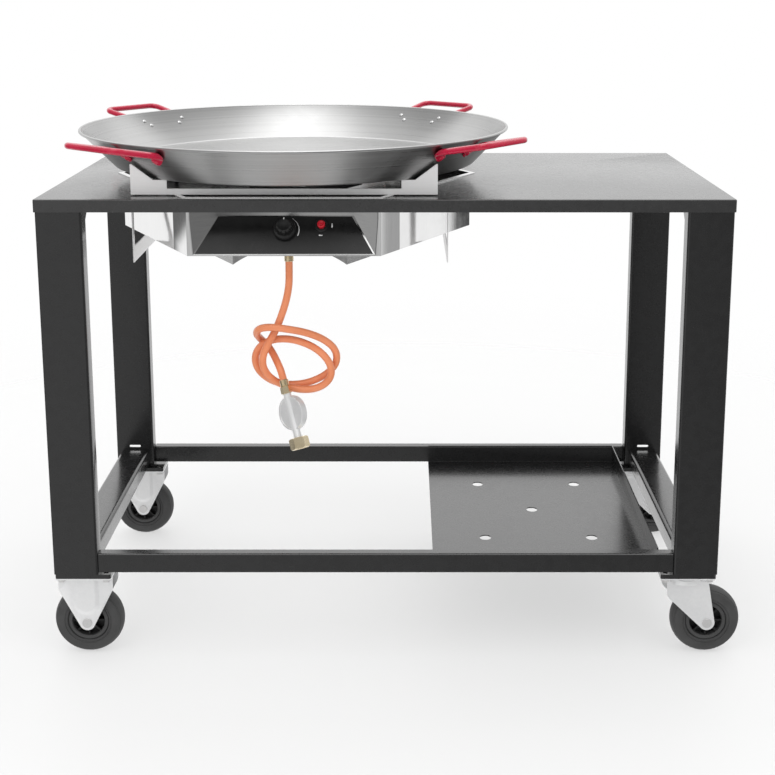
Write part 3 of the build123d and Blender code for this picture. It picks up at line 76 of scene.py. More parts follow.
Pair = tuple[float, float]
Point = tuple[float, float, float]
Colour = tuple[float, float, float]
Ring = Callable[[float], Pair]
Section = Callable[[int, float], Pair]
Shape = bmesh.types.BMesh
Mesh = bpy.types.Mesh
Piece = bpy.types.Object
Tree = bpy.types.NodeTree
Node = bpy.types.Node
Socket = bpy.types.NodeSocket

TURN = 2 * math.pi
UP = Vector((0, 0, 1))
RIGHT = Vector((1, 0, 0))
FRONT = Vector((0, -1, 0))
ROUND_STEPS = 96
MERGE = 0.000002
FLAT_ANGLE = math.radians(0.4)
SHARP_ANGLE = math.radians(32)
BEVEL_ANGLE = math.radians(50)
BEVEL_STEPS = 2

# Noises of the finishes, the middle range of each that is spread out, and the blend of the grain
FINE_NOISE = {"Detail": 4.0, "Roughness": 0.62}
BROAD_NOISE = {"Detail": 3.0}
MARKS_NOISE = {"Detail": 5.0, "Roughness": 0.55, "Distortion": 0.8}
LINES_RANGE = (0.28, 0.72)
GRAIN_RANGE = (0.34, 0.66)
MARKS_RANGE = (0.42, 0.72)
BROAD_SCALE = 0.045
BROAD_SHARE = 0.7
FINE_SHARE = 0.3
TURNED_RISE = 0.6

# Bow of the housing's sheet at its front and back corners: where it starts and ends, its rate and grain
BOW_START = 0.158
BOW_END = 0.197
BOW_RATE = 4.0
GRAIN_HEIGHT = 0.00001

# Numbers of the colour mix node's sockets
MIX_FACTOR = 0
MIX_A = 6
MIX_B = 7
MIX_RESULT = 2

# Sides of the repeated heads and rods
RIVET_SIDES = 20
RIVET_STEPS = 6
WASHER_SIDES = 32
HEAD_SIDES = 6
SHANK_SIDES = 20


# Places in the frame


def joint_named(name: str) -> dict:
    """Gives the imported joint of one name."""
    return next(joint for joint in frame["joints"] if joint["name"] == name)


def box_centre(node: str) -> Vector:
    """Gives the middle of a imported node's box."""
    low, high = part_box(node)
    return (low + high) / 2


def box_foot(node: str) -> Vector:
    """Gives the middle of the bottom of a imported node's box."""
    low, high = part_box(node)
    return Vector(((low.x + high.x) / 2, (low.y + high.y) / 2, low.z))


def place_on(origin: Sequence[float], axis: Sequence[float], across: Sequence[float]) -> Matrix:
    """Gives the placing of a piece whose own Z runs along an axis.

    Args:
        origin: Where the piece's own origin goes.
        axis: Direction of its own Z.
        across: Direction that its own X is nearest to.

    Returns:
        The placing as a 4x4 matrix.
    """
    along = Vector(axis).normalized()
    side = Vector(across)
    side = (side - along * side.dot(along)).normalized()
    turn = Matrix((side, along.cross(side), along)).transposed().to_4x4()
    return Matrix.Translation(Vector(origin)) @ turn


# Mesh tools


def to_mesh(shape: Shape, name: str) -> Mesh:
    """Writes a built shape to a new mesh and frees it.

    Args:
        shape: The built shape.
        name: Name of the mesh.

    Returns:
        The new mesh.
    """
    mesh = bpy.data.meshes.new(name)
    shape.to_mesh(mesh)
    shape.free()
    return mesh


def circle(radius: float, height: float) -> Ring:
    """Gives a round ring of one radius at one height."""
    return lambda angle: (radius, height)


def hexagon(flats: float, height: float, slope: float) -> Ring:
    """Gives a six-sided ring, whose height drops towards its corners by a slope.

    Args:
        flats: Width across its flats.
        height: Height at the middle of a flat.
        slope: Drop for each metre further out.

    Returns:
        Radius and height by angle.
    """

    def ring(angle: float) -> Pair:
        """Gives one point of the ring.

        Args:
            angle: Angle round the axis.

        Returns:
            Its radius and height.
        """
        from_flat = (angle + TURN / 12) % (TURN / 6) - TURN / 12
        radius = flats / 2 / math.cos(from_flat)
        return radius, height - slope * (radius - flats / 2)

    return ring


def arc(centre: Pair, radius: float, start: float, end: float, steps: int) -> list[Ring]:
    """Gives the rings of an arc in an outline of radius and height.

    Args:
        centre: Radius and height of the arc's centre.
        radius: The arc's radius.
        start: First angle in degrees, 0 being outwards and 90 up.
        end: Last angle in degrees.
        steps: Number of steps along the arc.

    Returns:
        One ring for each point of the arc.
    """
    rings = []
    for step in range(steps + 1):
        angle = math.radians(start + (end - start) * step / steps)
        rings.append(circle(centre[0] + radius * math.cos(angle), centre[1] + radius * math.sin(angle)))
    return rings


def capped(start: float, rings: Sequence[Ring], end: float) -> list[Ring]:
    """Closes an outline on its axis, at the heights of its two ends."""
    return [circle(0.0, start), *rings, circle(0.0, end)]


def mirrored(half: Sequence[Pair], crown: Sequence[Pair] = ()) -> list[Ring]:
    """Gives the rings of half an outline and of its mirror image, with a crown between them.

    Args:
        half: Radius and height of each point above the middle.
        crown: Points in the middle, which aren't mirrored.

    Returns:
        One ring for each point of the whole outline.
    """
    below = [(radius, -height) for radius, height in reversed(half)]
    return [circle(radius, height) for radius, height in [*half, *crown, *below]]


def bridge(shape: Shape, low: Sequence[bmesh.types.BMVert], high: Sequence[bmesh.types.BMVert]) -> None:
    """Adds the band of faces between two rings of points.

    Args:
        shape: Shape that gets the faces.
        low: Points of the first ring.
        high: Points of the next ring.
    """
    for step, spot in enumerate(low):
        after = (step + 1) % len(low)
        shape.faces.new((spot, low[after], high[after], high[step]))


def turned(
    name: str, rings: Sequence[Ring], place: Matrix, segments: int = ROUND_STEPS, closed: bool = False
) -> Mesh:
    """Builds a mesh from rings about its own Z.

    Args:
        name: Name of the mesh.
        rings: Radius and height by angle, in order along the outline.
        place: Where the mesh goes.
        segments: Steps round the axis.
        closed: Whether the last ring joins the first, as in a tube.

    Returns:
        The mesh, with its faces outwards.
    """
    shape = bmesh.new()
    rows = []
    for ring in rings:
        row = []
        for step in range(segments):
            angle = TURN * step / segments
            radius, height = ring(angle)
            spot = Vector((radius * math.cos(angle), radius * math.sin(angle), height))
            row.append(shape.verts.new(place @ spot))
        rows.append(row)
    pairs = list(zip(rows, rows[1:]))
    if closed:
        pairs.append((rows[-1], rows[0]))
    else:
        shape.faces.new(rows[0])
        shape.faces.new(rows[-1])
    for low, high in pairs:
        bridge(shape, low, high)
    bmesh.ops.remove_doubles(shape, verts=shape.verts, dist=MERGE)
    bmesh.ops.recalc_face_normals(shape, faces=shape.faces)
    return to_mesh(shape, name)


def rounded_path(corners: Sequence[Vector], radii: Sequence[float], steps: int) -> list[Vector]:
    """Gives the points of a bent rod's line, with a round at each corner.

    Args:
        corners: Ends and corners of the line.
        radii: Bend radius at each corner.
        steps: Steps on each bend.

    Returns:
        The line's points in order.
    """
    path = [corners[0]]
    for radius, before, here, after in zip(radii, corners, corners[1:], corners[2:]):
        back = (before - here).normalized()
        ahead = (after - here).normalized()
        half = back.angle(ahead) / 2
        centre = here + (back + ahead).normalized() * (radius / math.sin(half))
        first = (here + back * (radius / math.tan(half)) - centre).normalized()
        last = (here + ahead * (radius / math.tan(half)) - centre).normalized()
        for step in range(steps + 1):
            path.append(centre + first.slerp(last, step / steps) * radius)
    path.append(corners[-1])
    return path


def swept_rows(path: Sequence[Vector], section: Section, side: Vector, sides: int) -> list[list[Vector]]:
    """Carries a section along a line.

    Args:
        path: Points of the line.
        section: Offsets across and up, by the point's number and the angle round the line.
        side: Direction across the line at its start.
        sides: Steps round the line.

    Returns:
        One ring of points for each point of the line.
    """
    rows = []
    for number, point in enumerate(path):
        ahead = (path[min(number + 1, len(path) - 1)] - path[max(number - 1, 0)]).normalized()
        side = (side - ahead * side.dot(ahead)).normalized()
        lift = ahead.cross(side)
        row = []
        for step in range(sides):
            across, up = section(number, TURN * step / sides)
            row.append(point + side * across + lift * up)
        rows.append(row)
    return rows


def skinned(name: str, rows: Sequence[Sequence[Vector]]) -> Mesh:
    """Builds a closed mesh over rings of points, capped at both ends.

    Args:
        name: Name of the mesh.
        rows: Rings of points in order.

    Returns:
        The mesh, with its faces outwards.
    """
    shape = bmesh.new()
    rings = [[shape.verts.new(spot) for spot in row] for row in rows]
    for low, high in zip(rings, rings[1:]):
        bridge(shape, low, high)
    shape.faces.new(rings[0])
    shape.faces.new(rings[-1])
    bmesh.ops.recalc_face_normals(shape, faces=shape.faces)
    return to_mesh(shape, name)


def joined(name: str, meshes: Iterable[Mesh]) -> Mesh:
    """Puts several meshes into one and removes them.

    Args:
        name: Name of the whole mesh.
        meshes: The meshes that go into it.

    Returns:
        The whole mesh.
    """
    shape = bmesh.new()
    for mesh in meshes:
        shape.from_mesh(mesh)
        bpy.data.meshes.remove(mesh)
    return to_mesh(shape, name)


def made_whole(shape: Shape) -> None:
    """Merges the triangles of each flat face."""
    bmesh.ops.dissolve_limit(
        shape, angle_limit=FLAT_ANGLE, verts=shape.verts, edges=shape.edges, use_dissolve_boundaries=False
    )


def welded(node: str) -> Shape:
    """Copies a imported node's mesh, with its triangles welded and its flat faces made whole.

    Args:
        node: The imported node.

    Returns:
        The copy.
    """
    shape = bmesh.new()
    shape.from_mesh(frame["nodes"][node].data)
    bmesh.ops.remove_doubles(shape, verts=shape.verts, dist=MERGE)
    made_whole(shape)
    return shape


# Scene and node tools


def put_in_scene(name: str, data: bpy.types.ID) -> Piece:
    """Puts a mesh, curve, lamp or camera in the scene as a new object.

    Args:
        name: Name of the object.
        data: What it shows.

    Returns:
        The new object.
    """
    thing = bpy.data.objects.new(name, data)
    bpy.context.scene.collection.objects.link(thing)
    return thing


def feed(tree: Tree, node: Node, inputs: dict[str | int, object]) -> None:
    """Sets the inputs of a node.

    Args:
        tree: Tree that holds the node.
        node: The node.
        inputs: A value or a socket for each input, by its name or number.
    """
    for key, value in inputs.items():
        if isinstance(value, Socket):
            tree.links.new(value, node.inputs[key])
        else:
            node.inputs[key].default_value = value


def add_node(
    tree: Tree, kind: str, inputs: dict[str | int, object] | None = None, **settings: object
) -> Node:
    """Adds a node to a tree.

    Args:
        tree: Shader or geometry tree that gets the node.
        kind: Type name of the node.
        inputs: A value or a socket for each input, by its name or number.
        settings: Properties of the node itself.

    Returns:
        The new node.
    """
    node = tree.nodes.new(kind)
    for key, value in settings.items():
        setattr(node, key, value)
    feed(tree, node, inputs or {})
    return node


def math_node(tree: Tree, operation: str, *values: object) -> Socket:
    """Adds a math node and gives its result."""
    return add_node(tree, "ShaderNodeMath", dict(enumerate(values)), operation=operation).outputs[0]


def noise(tree: Tree, vector: Socket, scale: Socket, settings: dict[str, float]) -> Socket:
    """Adds a noise of one setting and gives its level."""
    inputs = {"Vector": vector, "Scale": scale, **settings}
    return add_node(tree, "ShaderNodeTexNoise", inputs).outputs[0]


def spread_mask(tree: Tree, value: Socket, limits: Pair) -> Socket:
    """Spreads a noise's middle range over 0 to 1."""
    inputs = {"Value": value, "From Min": limits[0], "From Max": limits[1]}
    return add_node(tree, "ShaderNodeMapRange", inputs).outputs["Result"]


# Patterns of the finishes


class Effect(Enum):
    """Patterns that a finish can have."""

    GRAIN = "fine_grain"
    BRUSH = "brush_lines"
    TURNED = "turned_lines"
    BOWED = "bowed_sheet"


def open_group(name: str, outputs: Sequence[str]) -> tuple[Tree, Node, Node]:
    """Starts a shader node group with inputs Vector and Scale.

    Args:
        name: Name of the group.
        outputs: Names of the levels that it puts out.

    Returns:
        The tree and its input and output nodes.
    """
    tree = bpy.data.node_groups.new(name, "ShaderNodeTree")
    tree.interface.new_socket("Vector", in_out="INPUT", socket_type="NodeSocketVector")
    tree.interface.new_socket("Scale", in_out="INPUT", socket_type="NodeSocketFloat")
    for label in outputs:
        tree.interface.new_socket(label, in_out="OUTPUT", socket_type="NodeSocketFloat")
    return tree, tree.nodes.new("NodeGroupInput"), tree.nodes.new("NodeGroupOutput")


def round_axis(tree: Tree, vector: Socket) -> Socket:
    """Bends a pattern round the Z axis, so that its X is the distance from the axis.

    Args:
        tree: Tree that gets the nodes.
        vector: Coordinates of the pattern.

    Returns:
        The bent coordinates.
    """
    parts = add_node(tree, "ShaderNodeSeparateXYZ", {"Vector": vector}).outputs
    flat = add_node(tree, "ShaderNodeCombineXYZ", {"X": parts["X"], "Y": parts["Y"]})
    length = add_node(tree, "ShaderNodeVectorMath", {0: flat.outputs[0]}, operation="LENGTH")
    rise = math_node(tree, "MULTIPLY", parts["Z"], TURNED_RISE)
    return add_node(tree, "ShaderNodeCombineXYZ", {"X": length.outputs["Value"], "Y": rise}).outputs[0]


def bowed(tree: Tree, vector: Socket, grain: Socket) -> Socket:
    """Gives the height of a sheet that bows at the housing's corners, with a fine grain on it.

    Args:
        tree: Tree that gets the nodes.
        vector: Coordinates from the middle of the pan.
        grain: Level of the grain.

    Returns:
        The height.
    """
    across = add_node(tree, "ShaderNodeSeparateXYZ", {"Vector": vector}).outputs["X"]
    limits = {"Value": math_node(tree, "ABSOLUTE", across), "Min": BOW_START, "Max": BOW_END}
    inside = math_node(tree, "SUBTRACT", add_node(tree, "ShaderNodeClamp", limits).outputs[0], BOW_START)
    rise = math_node(tree, "MULTIPLY", math_node(tree, "MULTIPLY", inside, inside), BOW_RATE)
    return math_node(tree, "MULTIPLY_ADD", grain, GRAIN_HEIGHT, rise)


@cache
def effect_group(effect: Effect) -> Tree:
    """Builds the node group of one pattern, once.

    Args:
        effect: The pattern.

    Returns:
        A group with inputs Vector and Scale and outputs Mask and Height.
    """
    tree, source, sink = open_group(effect.value, ("Mask", "Height"))
    vector = source.outputs["Vector"]
    scale = source.outputs["Scale"]
    if effect is Effect.TURNED:
        vector = round_axis(tree, vector)
    fine = noise(tree, vector, scale, FINE_NOISE)
    if effect is Effect.GRAIN:
        broad = noise(tree, vector, math_node(tree, "MULTIPLY", scale, BROAD_SCALE), BROAD_NOISE)
        blend = math_node(tree, "MULTIPLY", broad, BROAD_SHARE)
        blend = math_node(tree, "MULTIPLY_ADD", fine, FINE_SHARE, blend)
        mask = spread_mask(tree, blend, GRAIN_RANGE)
    else:
        mask = spread_mask(tree, fine, LINES_RANGE)
    height = bowed(tree, vector, fine) if effect is Effect.BOWED else fine
    feed(tree, sink, {"Mask": mask, "Height": height})
    return tree


@cache
def handling_group() -> Tree:
    """Builds the group of soft marks that handling leaves, once.

    Returns:
        A group with inputs Vector and Scale and output Mask.
    """
    tree, source, sink = open_group("handling_marks", ("Mask",))
    level = noise(tree, source.outputs["Vector"], source.outputs["Scale"], MARKS_NOISE)
    feed(tree, sink, {"Mask": spread_mask(tree, level, MARKS_RANGE)})
    return tree


# Finishes


@dataclass(frozen=True)
class Finish:
    """One surface finish: two close colours mixed by a fine pattern, with relief.

    Attributes:
        slot: The record's material slot.
        dark: Colour where the pattern is low.
        light: Colour where the pattern is high.
        rough: Roughness where the pattern is low and where it is high.
        metallic: 1 for bare metal, 0 for none, and between them for a dull or coated metal.
        effect: The pattern.
        scale: The pattern's frequency per metre.
        stretch: How far the pattern is drawn out along each axis.
        centre: Point that a turned pattern goes round.
        relief: Strength of the bump.
        depth: Depth of the bump in metres.
        marks: Roughness that handling marks add.
        marks_scale: Frequency of the handling marks per metre.
        coat: Weight of a clear coat.
        coat_rough: Roughness of the clear coat.
        specular: Specular level.
    """

    slot: str
    dark: Colour
    light: Colour
    rough: Pair
    metallic: float = 0.0
    effect: Effect = Effect.GRAIN
    scale: float = 900.0
    stretch: Point = (1.0, 1.0, 1.0)
    centre: Point = (0.0, 0.0, 0.0)
    relief: float = 0.2
    depth: float = 0.0002
    marks: float = 0.06
    marks_scale: float = 9.0
    coat: float = 0.0
    coat_rough: float = 0.08
    specular: float = 0.5

    def material(self) -> bpy.types.Material:
        """Gives the finish's material, built at its first use."""
        return finish_material(self)


@cache
def finish_material(finish: Finish) -> bpy.types.Material:
    """Builds the material of a finish.

    Args:
        finish: The finish.

    Returns:
        The material, with colour, roughness and relief from its pattern.
    """
    material = bpy.data.materials.new(f"finish_{finish.slot}")
    material.use_nodes = True
    tree = material.node_tree
    where = add_node(tree, "ShaderNodeTexCoord").outputs["Object"]
    inputs = {"Vector": where, "Location": finish.centre, "Scale": finish.stretch}
    mapped = add_node(tree, "ShaderNodeMapping", inputs, vector_type="TEXTURE").outputs["Vector"]
    inputs = {"Vector": mapped, "Scale": finish.scale}
    pattern = add_node(tree, "ShaderNodeGroup", inputs, node_tree=effect_group(finish.effect)).outputs
    inputs = {"Vector": where, "Scale": finish.marks_scale}
    marks = add_node(tree, "ShaderNodeGroup", inputs, node_tree=handling_group()).outputs
    inputs = {MIX_FACTOR: pattern["Mask"], MIX_A: (*finish.dark, 1), MIX_B: (*finish.light, 1)}
    colour = add_node(tree, "ShaderNodeMix", inputs, data_type="RGBA").outputs[MIX_RESULT]
    inputs = {"Value": pattern["Mask"], "To Min": finish.rough[0], "To Max": finish.rough[1]}
    even = add_node(tree, "ShaderNodeMapRange", inputs).outputs["Result"]
    rough = math_node(tree, "MULTIPLY_ADD", marks["Mask"], finish.marks, even)
    inputs = {"Strength": finish.relief, "Distance": finish.depth, "Height": pattern["Height"]}
    bump = add_node(tree, "ShaderNodeBump", inputs).outputs["Normal"]
    inputs = {
        "Base Color": colour,
        "Roughness": rough,
        "Normal": bump,
        "Metallic": finish.metallic,
        "Specular IOR Level": finish.specular,
        "Coat Weight": finish.coat,
        "Coat Roughness": finish.coat_rough,
    }
    feed(tree, tree.nodes["Principled BSDF"], inputs)
    return material


def grey(level: float) -> Colour:
    """Gives a plain grey."""
    return (level, level, level)


PAN_CENTRE = tuple(box_centre("pan"))

BLACK_COAT = Finish(
    "black_coat",
    (0.006, 0.006, 0.0062),
    (0.0095, 0.0095, 0.0098),
    (0.24, 0.29),
    scale=1400.0,
    relief=0.05,
    marks=0.03,
    coat=0.6,
    coat_rough=0.16,
)
# Painted sheen: the top's coat is a paler copy of the black coat, standing in for the white room's glancing
# reflection on the flat top.
PAINTED_SHEEN_TOP_COAT = replace(BLACK_COAT, dark=(0.022, 0.022, 0.0222), light=(0.028, 0.028, 0.0283))
ZINC_PLATE = Finish(
    "zinc_plate", (0.83, 0.835, 0.84), grey(0.94), (0.28, 0.38), metallic=0.45, scale=160.0, relief=0.004
)
PLAIN_STEEL = Finish("plain_steel", grey(0.66), (0.78, 0.77, 0.76), (0.26, 0.38), metallic=0.6, scale=500.0)
# Painted shade: the hubs' black plastic is made darker still, so that their deep recesses read as shade;
# the rim's copy on the next line keeps the tyre's grey.
PAINTED_SHADE_HUB_PLASTIC = Finish("wheel_plastic", grey(0.004), grey(0.008), (0.45, 0.58))
WHEEL_RIM = replace(PAINTED_SHADE_HUB_PLASTIC, dark=grey(0.045), light=grey(0.06), rough=(0.42, 0.55))
TYRE_RUBBER = Finish("tyre_rubber", grey(0.042), grey(0.062), (0.5, 0.66), scale=700.0, marks=0.1)
STAINLESS = Finish(
    "stainless",
    grey(0.8),
    (0.9, 0.9, 0.895),
    (0.07, 0.12),
    metallic=1.0,
    effect=Effect.BOWED,
    stretch=(1.0, 1.0, 60.0),
    centre=(PAN_CENTRE[0], PAN_CENTRE[1], 0.0),
    relief=1.0,
    depth=1.0,
)
# Painted shade: a darker, brushed copy of the stainless for the panel surround, its colour standing in for
# the shade inside the recess.
PAINTED_SHADE_FOLDED_STEEL = Finish(
    "stainless",
    grey(0.4),
    (0.49, 0.49, 0.485),
    (0.12, 0.2),
    metallic=1.0,
    effect=Effect.BRUSH,
    scale=1500.0,
    stretch=(60.0, 60.0, 1.0),
    relief=0.06,
)
# Painted shade: a still darker copy of the stainless for the lower shroud, which stands in the housing's
# shadow.
PAINTED_SHADE_SHROUD_STEEL = replace(PAINTED_SHADE_FOLDED_STEEL, dark=grey(0.36), light=(0.44, 0.44, 0.435), rough=(0.18, 0.28))
SATIN_STEEL = replace(
    PAINTED_SHADE_FOLDED_STEEL, dark=grey(0.9), light=(0.96, 0.96, 0.955), rough=(0.3, 0.42), metallic=0.2
)
PAN_STEEL = Finish(
    "pan_steel",
    (0.38, 0.38, 0.378),
    (0.48, 0.48, 0.477),
    (0.25, 0.34),
    metallic=1.0,
    effect=Effect.TURNED,
    scale=700.0,
    centre=PAN_CENTRE,
    relief=0.1,
)
BURNER_IRON = Finish(
    "burner_iron", (0.02, 0.02, 0.021), (0.055, 0.052, 0.05), (0.55, 0.75), scale=420.0, relief=0.5
)
BRASS = Finish(
    "brass", (0.8, 0.66, 0.42), (0.92, 0.8, 0.57), (0.14, 0.24), metallic=1.0, scale=700.0, relief=0.06
)
RED_COAT = Finish(
    "red_coat",
    (0.46, 0.003, 0.034),
    (0.58, 0.005, 0.05),
    (0.2, 0.28),
    scale=260.0,
    relief=0.05,
    coat=0.6,
    specular=0.4,
)
PANEL_BLACK = Finish(
    "panel_black", grey(0.008), grey(0.013), (0.26, 0.32), scale=1600.0, relief=0.06, specular=0.35
)
KNOB_BLACK = Finish("knob_black", grey(0.006), grey(0.01), (0.3, 0.4), scale=1500.0, relief=0.1)
IGNITER_BLACK = Finish("igniter_black", grey(0.008), grey(0.013), (0.3, 0.4), scale=1500.0)
IGNITER_RED = Finish("igniter_red", (0.5, 0.006, 0.02), (0.64, 0.015, 0.03), (0.2, 0.28), coat=0.3)
CERAMIC = Finish("ceramic", (0.72, 0.7, 0.66), (0.82, 0.8, 0.77), (0.3, 0.42), scale=800.0)
ORANGE_HOSE = Finish(
    "orange_hose", (0.8, 0.25, 0.105), (0.92, 0.32, 0.15), (0.3, 0.4), scale=620.0, relief=0.1, coat=0.3
)
ZINC_CASTING = Finish(
    "zinc_casting", (0.78, 0.785, 0.79), grey(0.88), (0.32, 0.46), metallic=0.4, scale=420.0
)
RIVET_METAL = Finish("rivet_metal", grey(0.5), (0.6, 0.6, 0.595), (0.2, 0.3), metallic=1.0, relief=0.05)
PRINT_WHITE = Finish("panel_black", grey(0.8), grey(0.86), (0.45, 0.55), scale=1500.0, relief=0.02)


# Pieces


def add_piece(
    name: str, mesh: Mesh, finish: Finish, body: str, stands_for: Sequence[str] = (), edge: float = 0.0
) -> Piece:
    """Puts a finished mesh in the scene as a piece of the object.

    Args:
        name: Name of the piece.
        mesh: Its mesh, in place.
        finish: Its finish.
        body: The body that it moves with.
        stands_for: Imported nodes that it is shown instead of.
        edge: Width of its rounded edges, or 0 for none.

    Returns:
        The new object.
    """
    mesh.materials.clear()
    mesh.materials.append(finish.material())
    mesh.shade_smooth()
    mesh.set_sharp_from_angle(angle=SHARP_ANGLE)
    piece = put_in_scene(name, mesh)
    if edge:
        bevel = piece.modifiers.new("soft_edges", "BEVEL")
        bevel.width = edge
        bevel.segments = BEVEL_STEPS
        bevel.limit_method = "ANGLE"
        bevel.angle_limit = BEVEL_ANGLE
        bevel.harden_normals = True
    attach(piece, body)
    if stands_for:
        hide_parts(*stands_for)
    LOG.info("%s rides on %s, %d faces", name, body, len(mesh.polygons))
    return piece


def dress_node(node: str, finish: Finish, edge: float = 0.0, shape: Shape | None = None) -> Piece:
    """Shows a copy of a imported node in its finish.

    Args:
        node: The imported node.
        finish: Its finish.
        edge: Width of its rounded edges, or 0 for none.
        shape: The copy, where it is more than a welded one.

    Returns:
        The new object.
    """
    mesh = to_mesh(shape or welded(node), f"{node}_mesh")
    return add_piece(f"{node}_finished", mesh, finish, frame["nodes"][node]["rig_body"], [node], edge)


# Patterns of repeated pieces


def open_pattern(name: str, sizes: Sequence[str], counts: Sequence[str] = ()) -> tuple[Tree, Node]:
    """Starts a geometry tree with a material and named inputs.

    Args:
        name: Name of the tree.
        sizes: Names of its lengths.
        counts: Names of its whole numbers.

    Returns:
        The tree and its input node.
    """
    tree = bpy.data.node_groups.new(name, "GeometryNodeTree")
    tree.interface.new_socket("Geometry", in_out="INPUT", socket_type="NodeSocketGeometry")
    tree.interface.new_socket("Geometry", in_out="OUTPUT", socket_type="NodeSocketGeometry")
    kinds = {"Material": "NodeSocketMaterial"}
    kinds.update(dict.fromkeys(counts, "NodeSocketInt"))
    kinds.update(dict.fromkeys(sizes, "NodeSocketFloat"))
    for label, kind in kinds.items():
        tree.interface.new_socket(label, in_out="INPUT", socket_type=kind)
    return tree, tree.nodes.new("NodeGroupInput")


def close_pattern(tree: Tree, source: Node, instances: Socket) -> None:
    """Ends a tree: its instances are made real and get their material.

    Args:
        tree: The pattern's tree.
        source: Its input node.
        instances: The instances that it makes.
    """
    real = add_node(tree, "GeometryNodeRealizeInstances", {"Geometry": instances})
    inputs = {"Geometry": real.outputs[0], "Material": source.outputs["Material"]}
    dressed = add_node(tree, "GeometryNodeSetMaterial", inputs)
    add_node(tree, "NodeGroupOutput", {"Geometry": dressed.outputs[0]})


def on_points(tree: Tree, source: Node, shape: Socket) -> Socket:
    """Sets a shape on every point of the input, along the point's own facing.

    Args:
        tree: The pattern's tree.
        source: Its input node.
        shape: The shape that is repeated.

    Returns:
        The instances.
    """
    kind = "GeometryNodeInputNamedAttribute"
    facing = add_node(tree, kind, {"Name": "facing"}, data_type="FLOAT_VECTOR").outputs["Attribute"]
    turn = add_node(tree, "FunctionNodeAlignRotationToVector", {"Vector": facing}, axis="Z")
    inputs = {"Points": source.outputs["Geometry"], "Instance": shape, "Rotation": turn.outputs[0]}
    return add_node(tree, "GeometryNodeInstanceOnPoints", inputs).outputs[0]


@cache
def domed_heads() -> Tree:
    """Builds the pattern of low domed rivet heads on points, once.

    Returns:
        A tree with inputs Material, Radius and Rise.
    """
    tree, source = open_pattern("domed_heads", ("Radius", "Rise"))
    inputs = {
        "Vertices": RIVET_SIDES,
        "Side Segments": RIVET_STEPS,
        "Radius Top": 0.0,
        "Radius Bottom": 1.0,
        "Depth": 1.0,
    }
    cone = add_node(tree, "GeometryNodeMeshCone", inputs, fill_type="NGON").outputs["Mesh"]
    spot = add_node(tree, "GeometryNodeInputPosition").outputs[0]
    parts = add_node(tree, "ShaderNodeSeparateXYZ", {"Vector": spot}).outputs
    across = math_node(tree, "SUBTRACT", 1.0, parts["Z"])
    left = math_node(tree, "SUBTRACT", 1.0, math_node(tree, "MULTIPLY", across, across))
    height = math_node(tree, "SQRT", left)
    radius = source.outputs["Radius"]
    inputs = {
        "X": math_node(tree, "MULTIPLY", parts["X"], radius),
        "Y": math_node(tree, "MULTIPLY", parts["Y"], radius),
        "Z": math_node(tree, "MULTIPLY", height, source.outputs["Rise"]),
    }
    new_spot = add_node(tree, "ShaderNodeCombineXYZ", inputs).outputs[0]
    dome = add_node(tree, "GeometryNodeSetPosition", {"Geometry": cone, "Position": new_spot})
    close_pattern(tree, source, on_points(tree, source, dome.outputs[0]))
    return tree


@cache
def hex_bolts() -> Tree:
    """Builds the pattern of hexagon heads with washers and shanks on points, once.

    Returns:
        A tree with inputs Material and a radius and height of washer, head and shank.
    """
    sides = {"Washer": WASHER_SIDES, "Head": HEAD_SIDES, "Shank": SHANK_SIDES}
    sizes = [f"{label} {size}" for label in sides for size in ("Radius", "Height")]
    tree, source = open_pattern("hex_bolts", sizes)
    washer, head, shank = (source.outputs[f"{label} Height"] for label in sides)
    levels = {
        "Washer": math_node(tree, "MULTIPLY", washer, 0.5),
        "Head": math_node(tree, "MULTIPLY_ADD", head, 0.5, washer),
        "Shank": math_node(tree, "MULTIPLY", shank, -0.5),
    }
    shapes = add_node(tree, "GeometryNodeJoinGeometry")
    for label, level in levels.items():
        inputs = {
            "Vertices": sides[label],
            "Radius": source.outputs[f"{label} Radius"],
            "Depth": source.outputs[f"{label} Height"],
        }
        rod = add_node(tree, "GeometryNodeMeshCylinder", inputs)
        lift = add_node(tree, "ShaderNodeCombineXYZ", {"Z": level})
        inputs = {"Geometry": rod.outputs["Mesh"], "Translation": lift.outputs[0]}
        moved = add_node(tree, "GeometryNodeTransform", inputs)
        tree.links.new(moved.outputs[0], shapes.inputs[0])
    close_pattern(tree, source, on_points(tree, source, shapes.outputs[0]))
    return tree


@cache
def ring_of_ribs() -> Tree:
    """Builds the pattern of straight ribs standing round an axis, once.

    Returns:
        A tree with inputs Material, Count, Radius, Length, Width and Height.
    """
    tree, source = open_pattern("ring_of_ribs", ("Radius", "Length", "Width", "Height"), ("Count",))
    given = source.outputs
    inputs = {"Vertices": given["Count"], "Radius": given["Radius"]}
    spots = add_node(tree, "GeometryNodeMeshCircle", inputs)
    inputs = {"X": given["Length"], "Y": given["Width"], "Z": given["Height"]}
    size = add_node(tree, "ShaderNodeCombineXYZ", inputs)
    rib = add_node(tree, "GeometryNodeMeshCube", {"Size": size.outputs[0]})
    spot = add_node(tree, "GeometryNodeInputPosition").outputs[0]
    turn = add_node(tree, "FunctionNodeAlignRotationToVector", {"Vector": spot}, axis="X")
    inputs = {"Points": spots.outputs["Mesh"], "Instance": rib.outputs["Mesh"], "Rotation": turn.outputs[0]}
    ribs = add_node(tree, "GeometryNodeInstanceOnPoints", inputs)
    close_pattern(tree, source, ribs.outputs[0])
    return tree


def facing_points(spots: Sequence[tuple[Vector, Vector]]) -> Mesh:
    """Gives a mesh of loose points, each with the direction that it faces.

    Args:
        spots: Place and direction of each point.

    Returns:
        The mesh, with the directions as its attribute facing.
    """
    mesh = bpy.data.meshes.new("points")
    mesh.from_pydata([spot for spot, _ in spots], [], [])
    facing = mesh.attributes.new("facing", "FLOAT_VECTOR", "POINT")
    for entry, (_, way) in zip(facing.data, spots):
        entry.vector = way
    return mesh


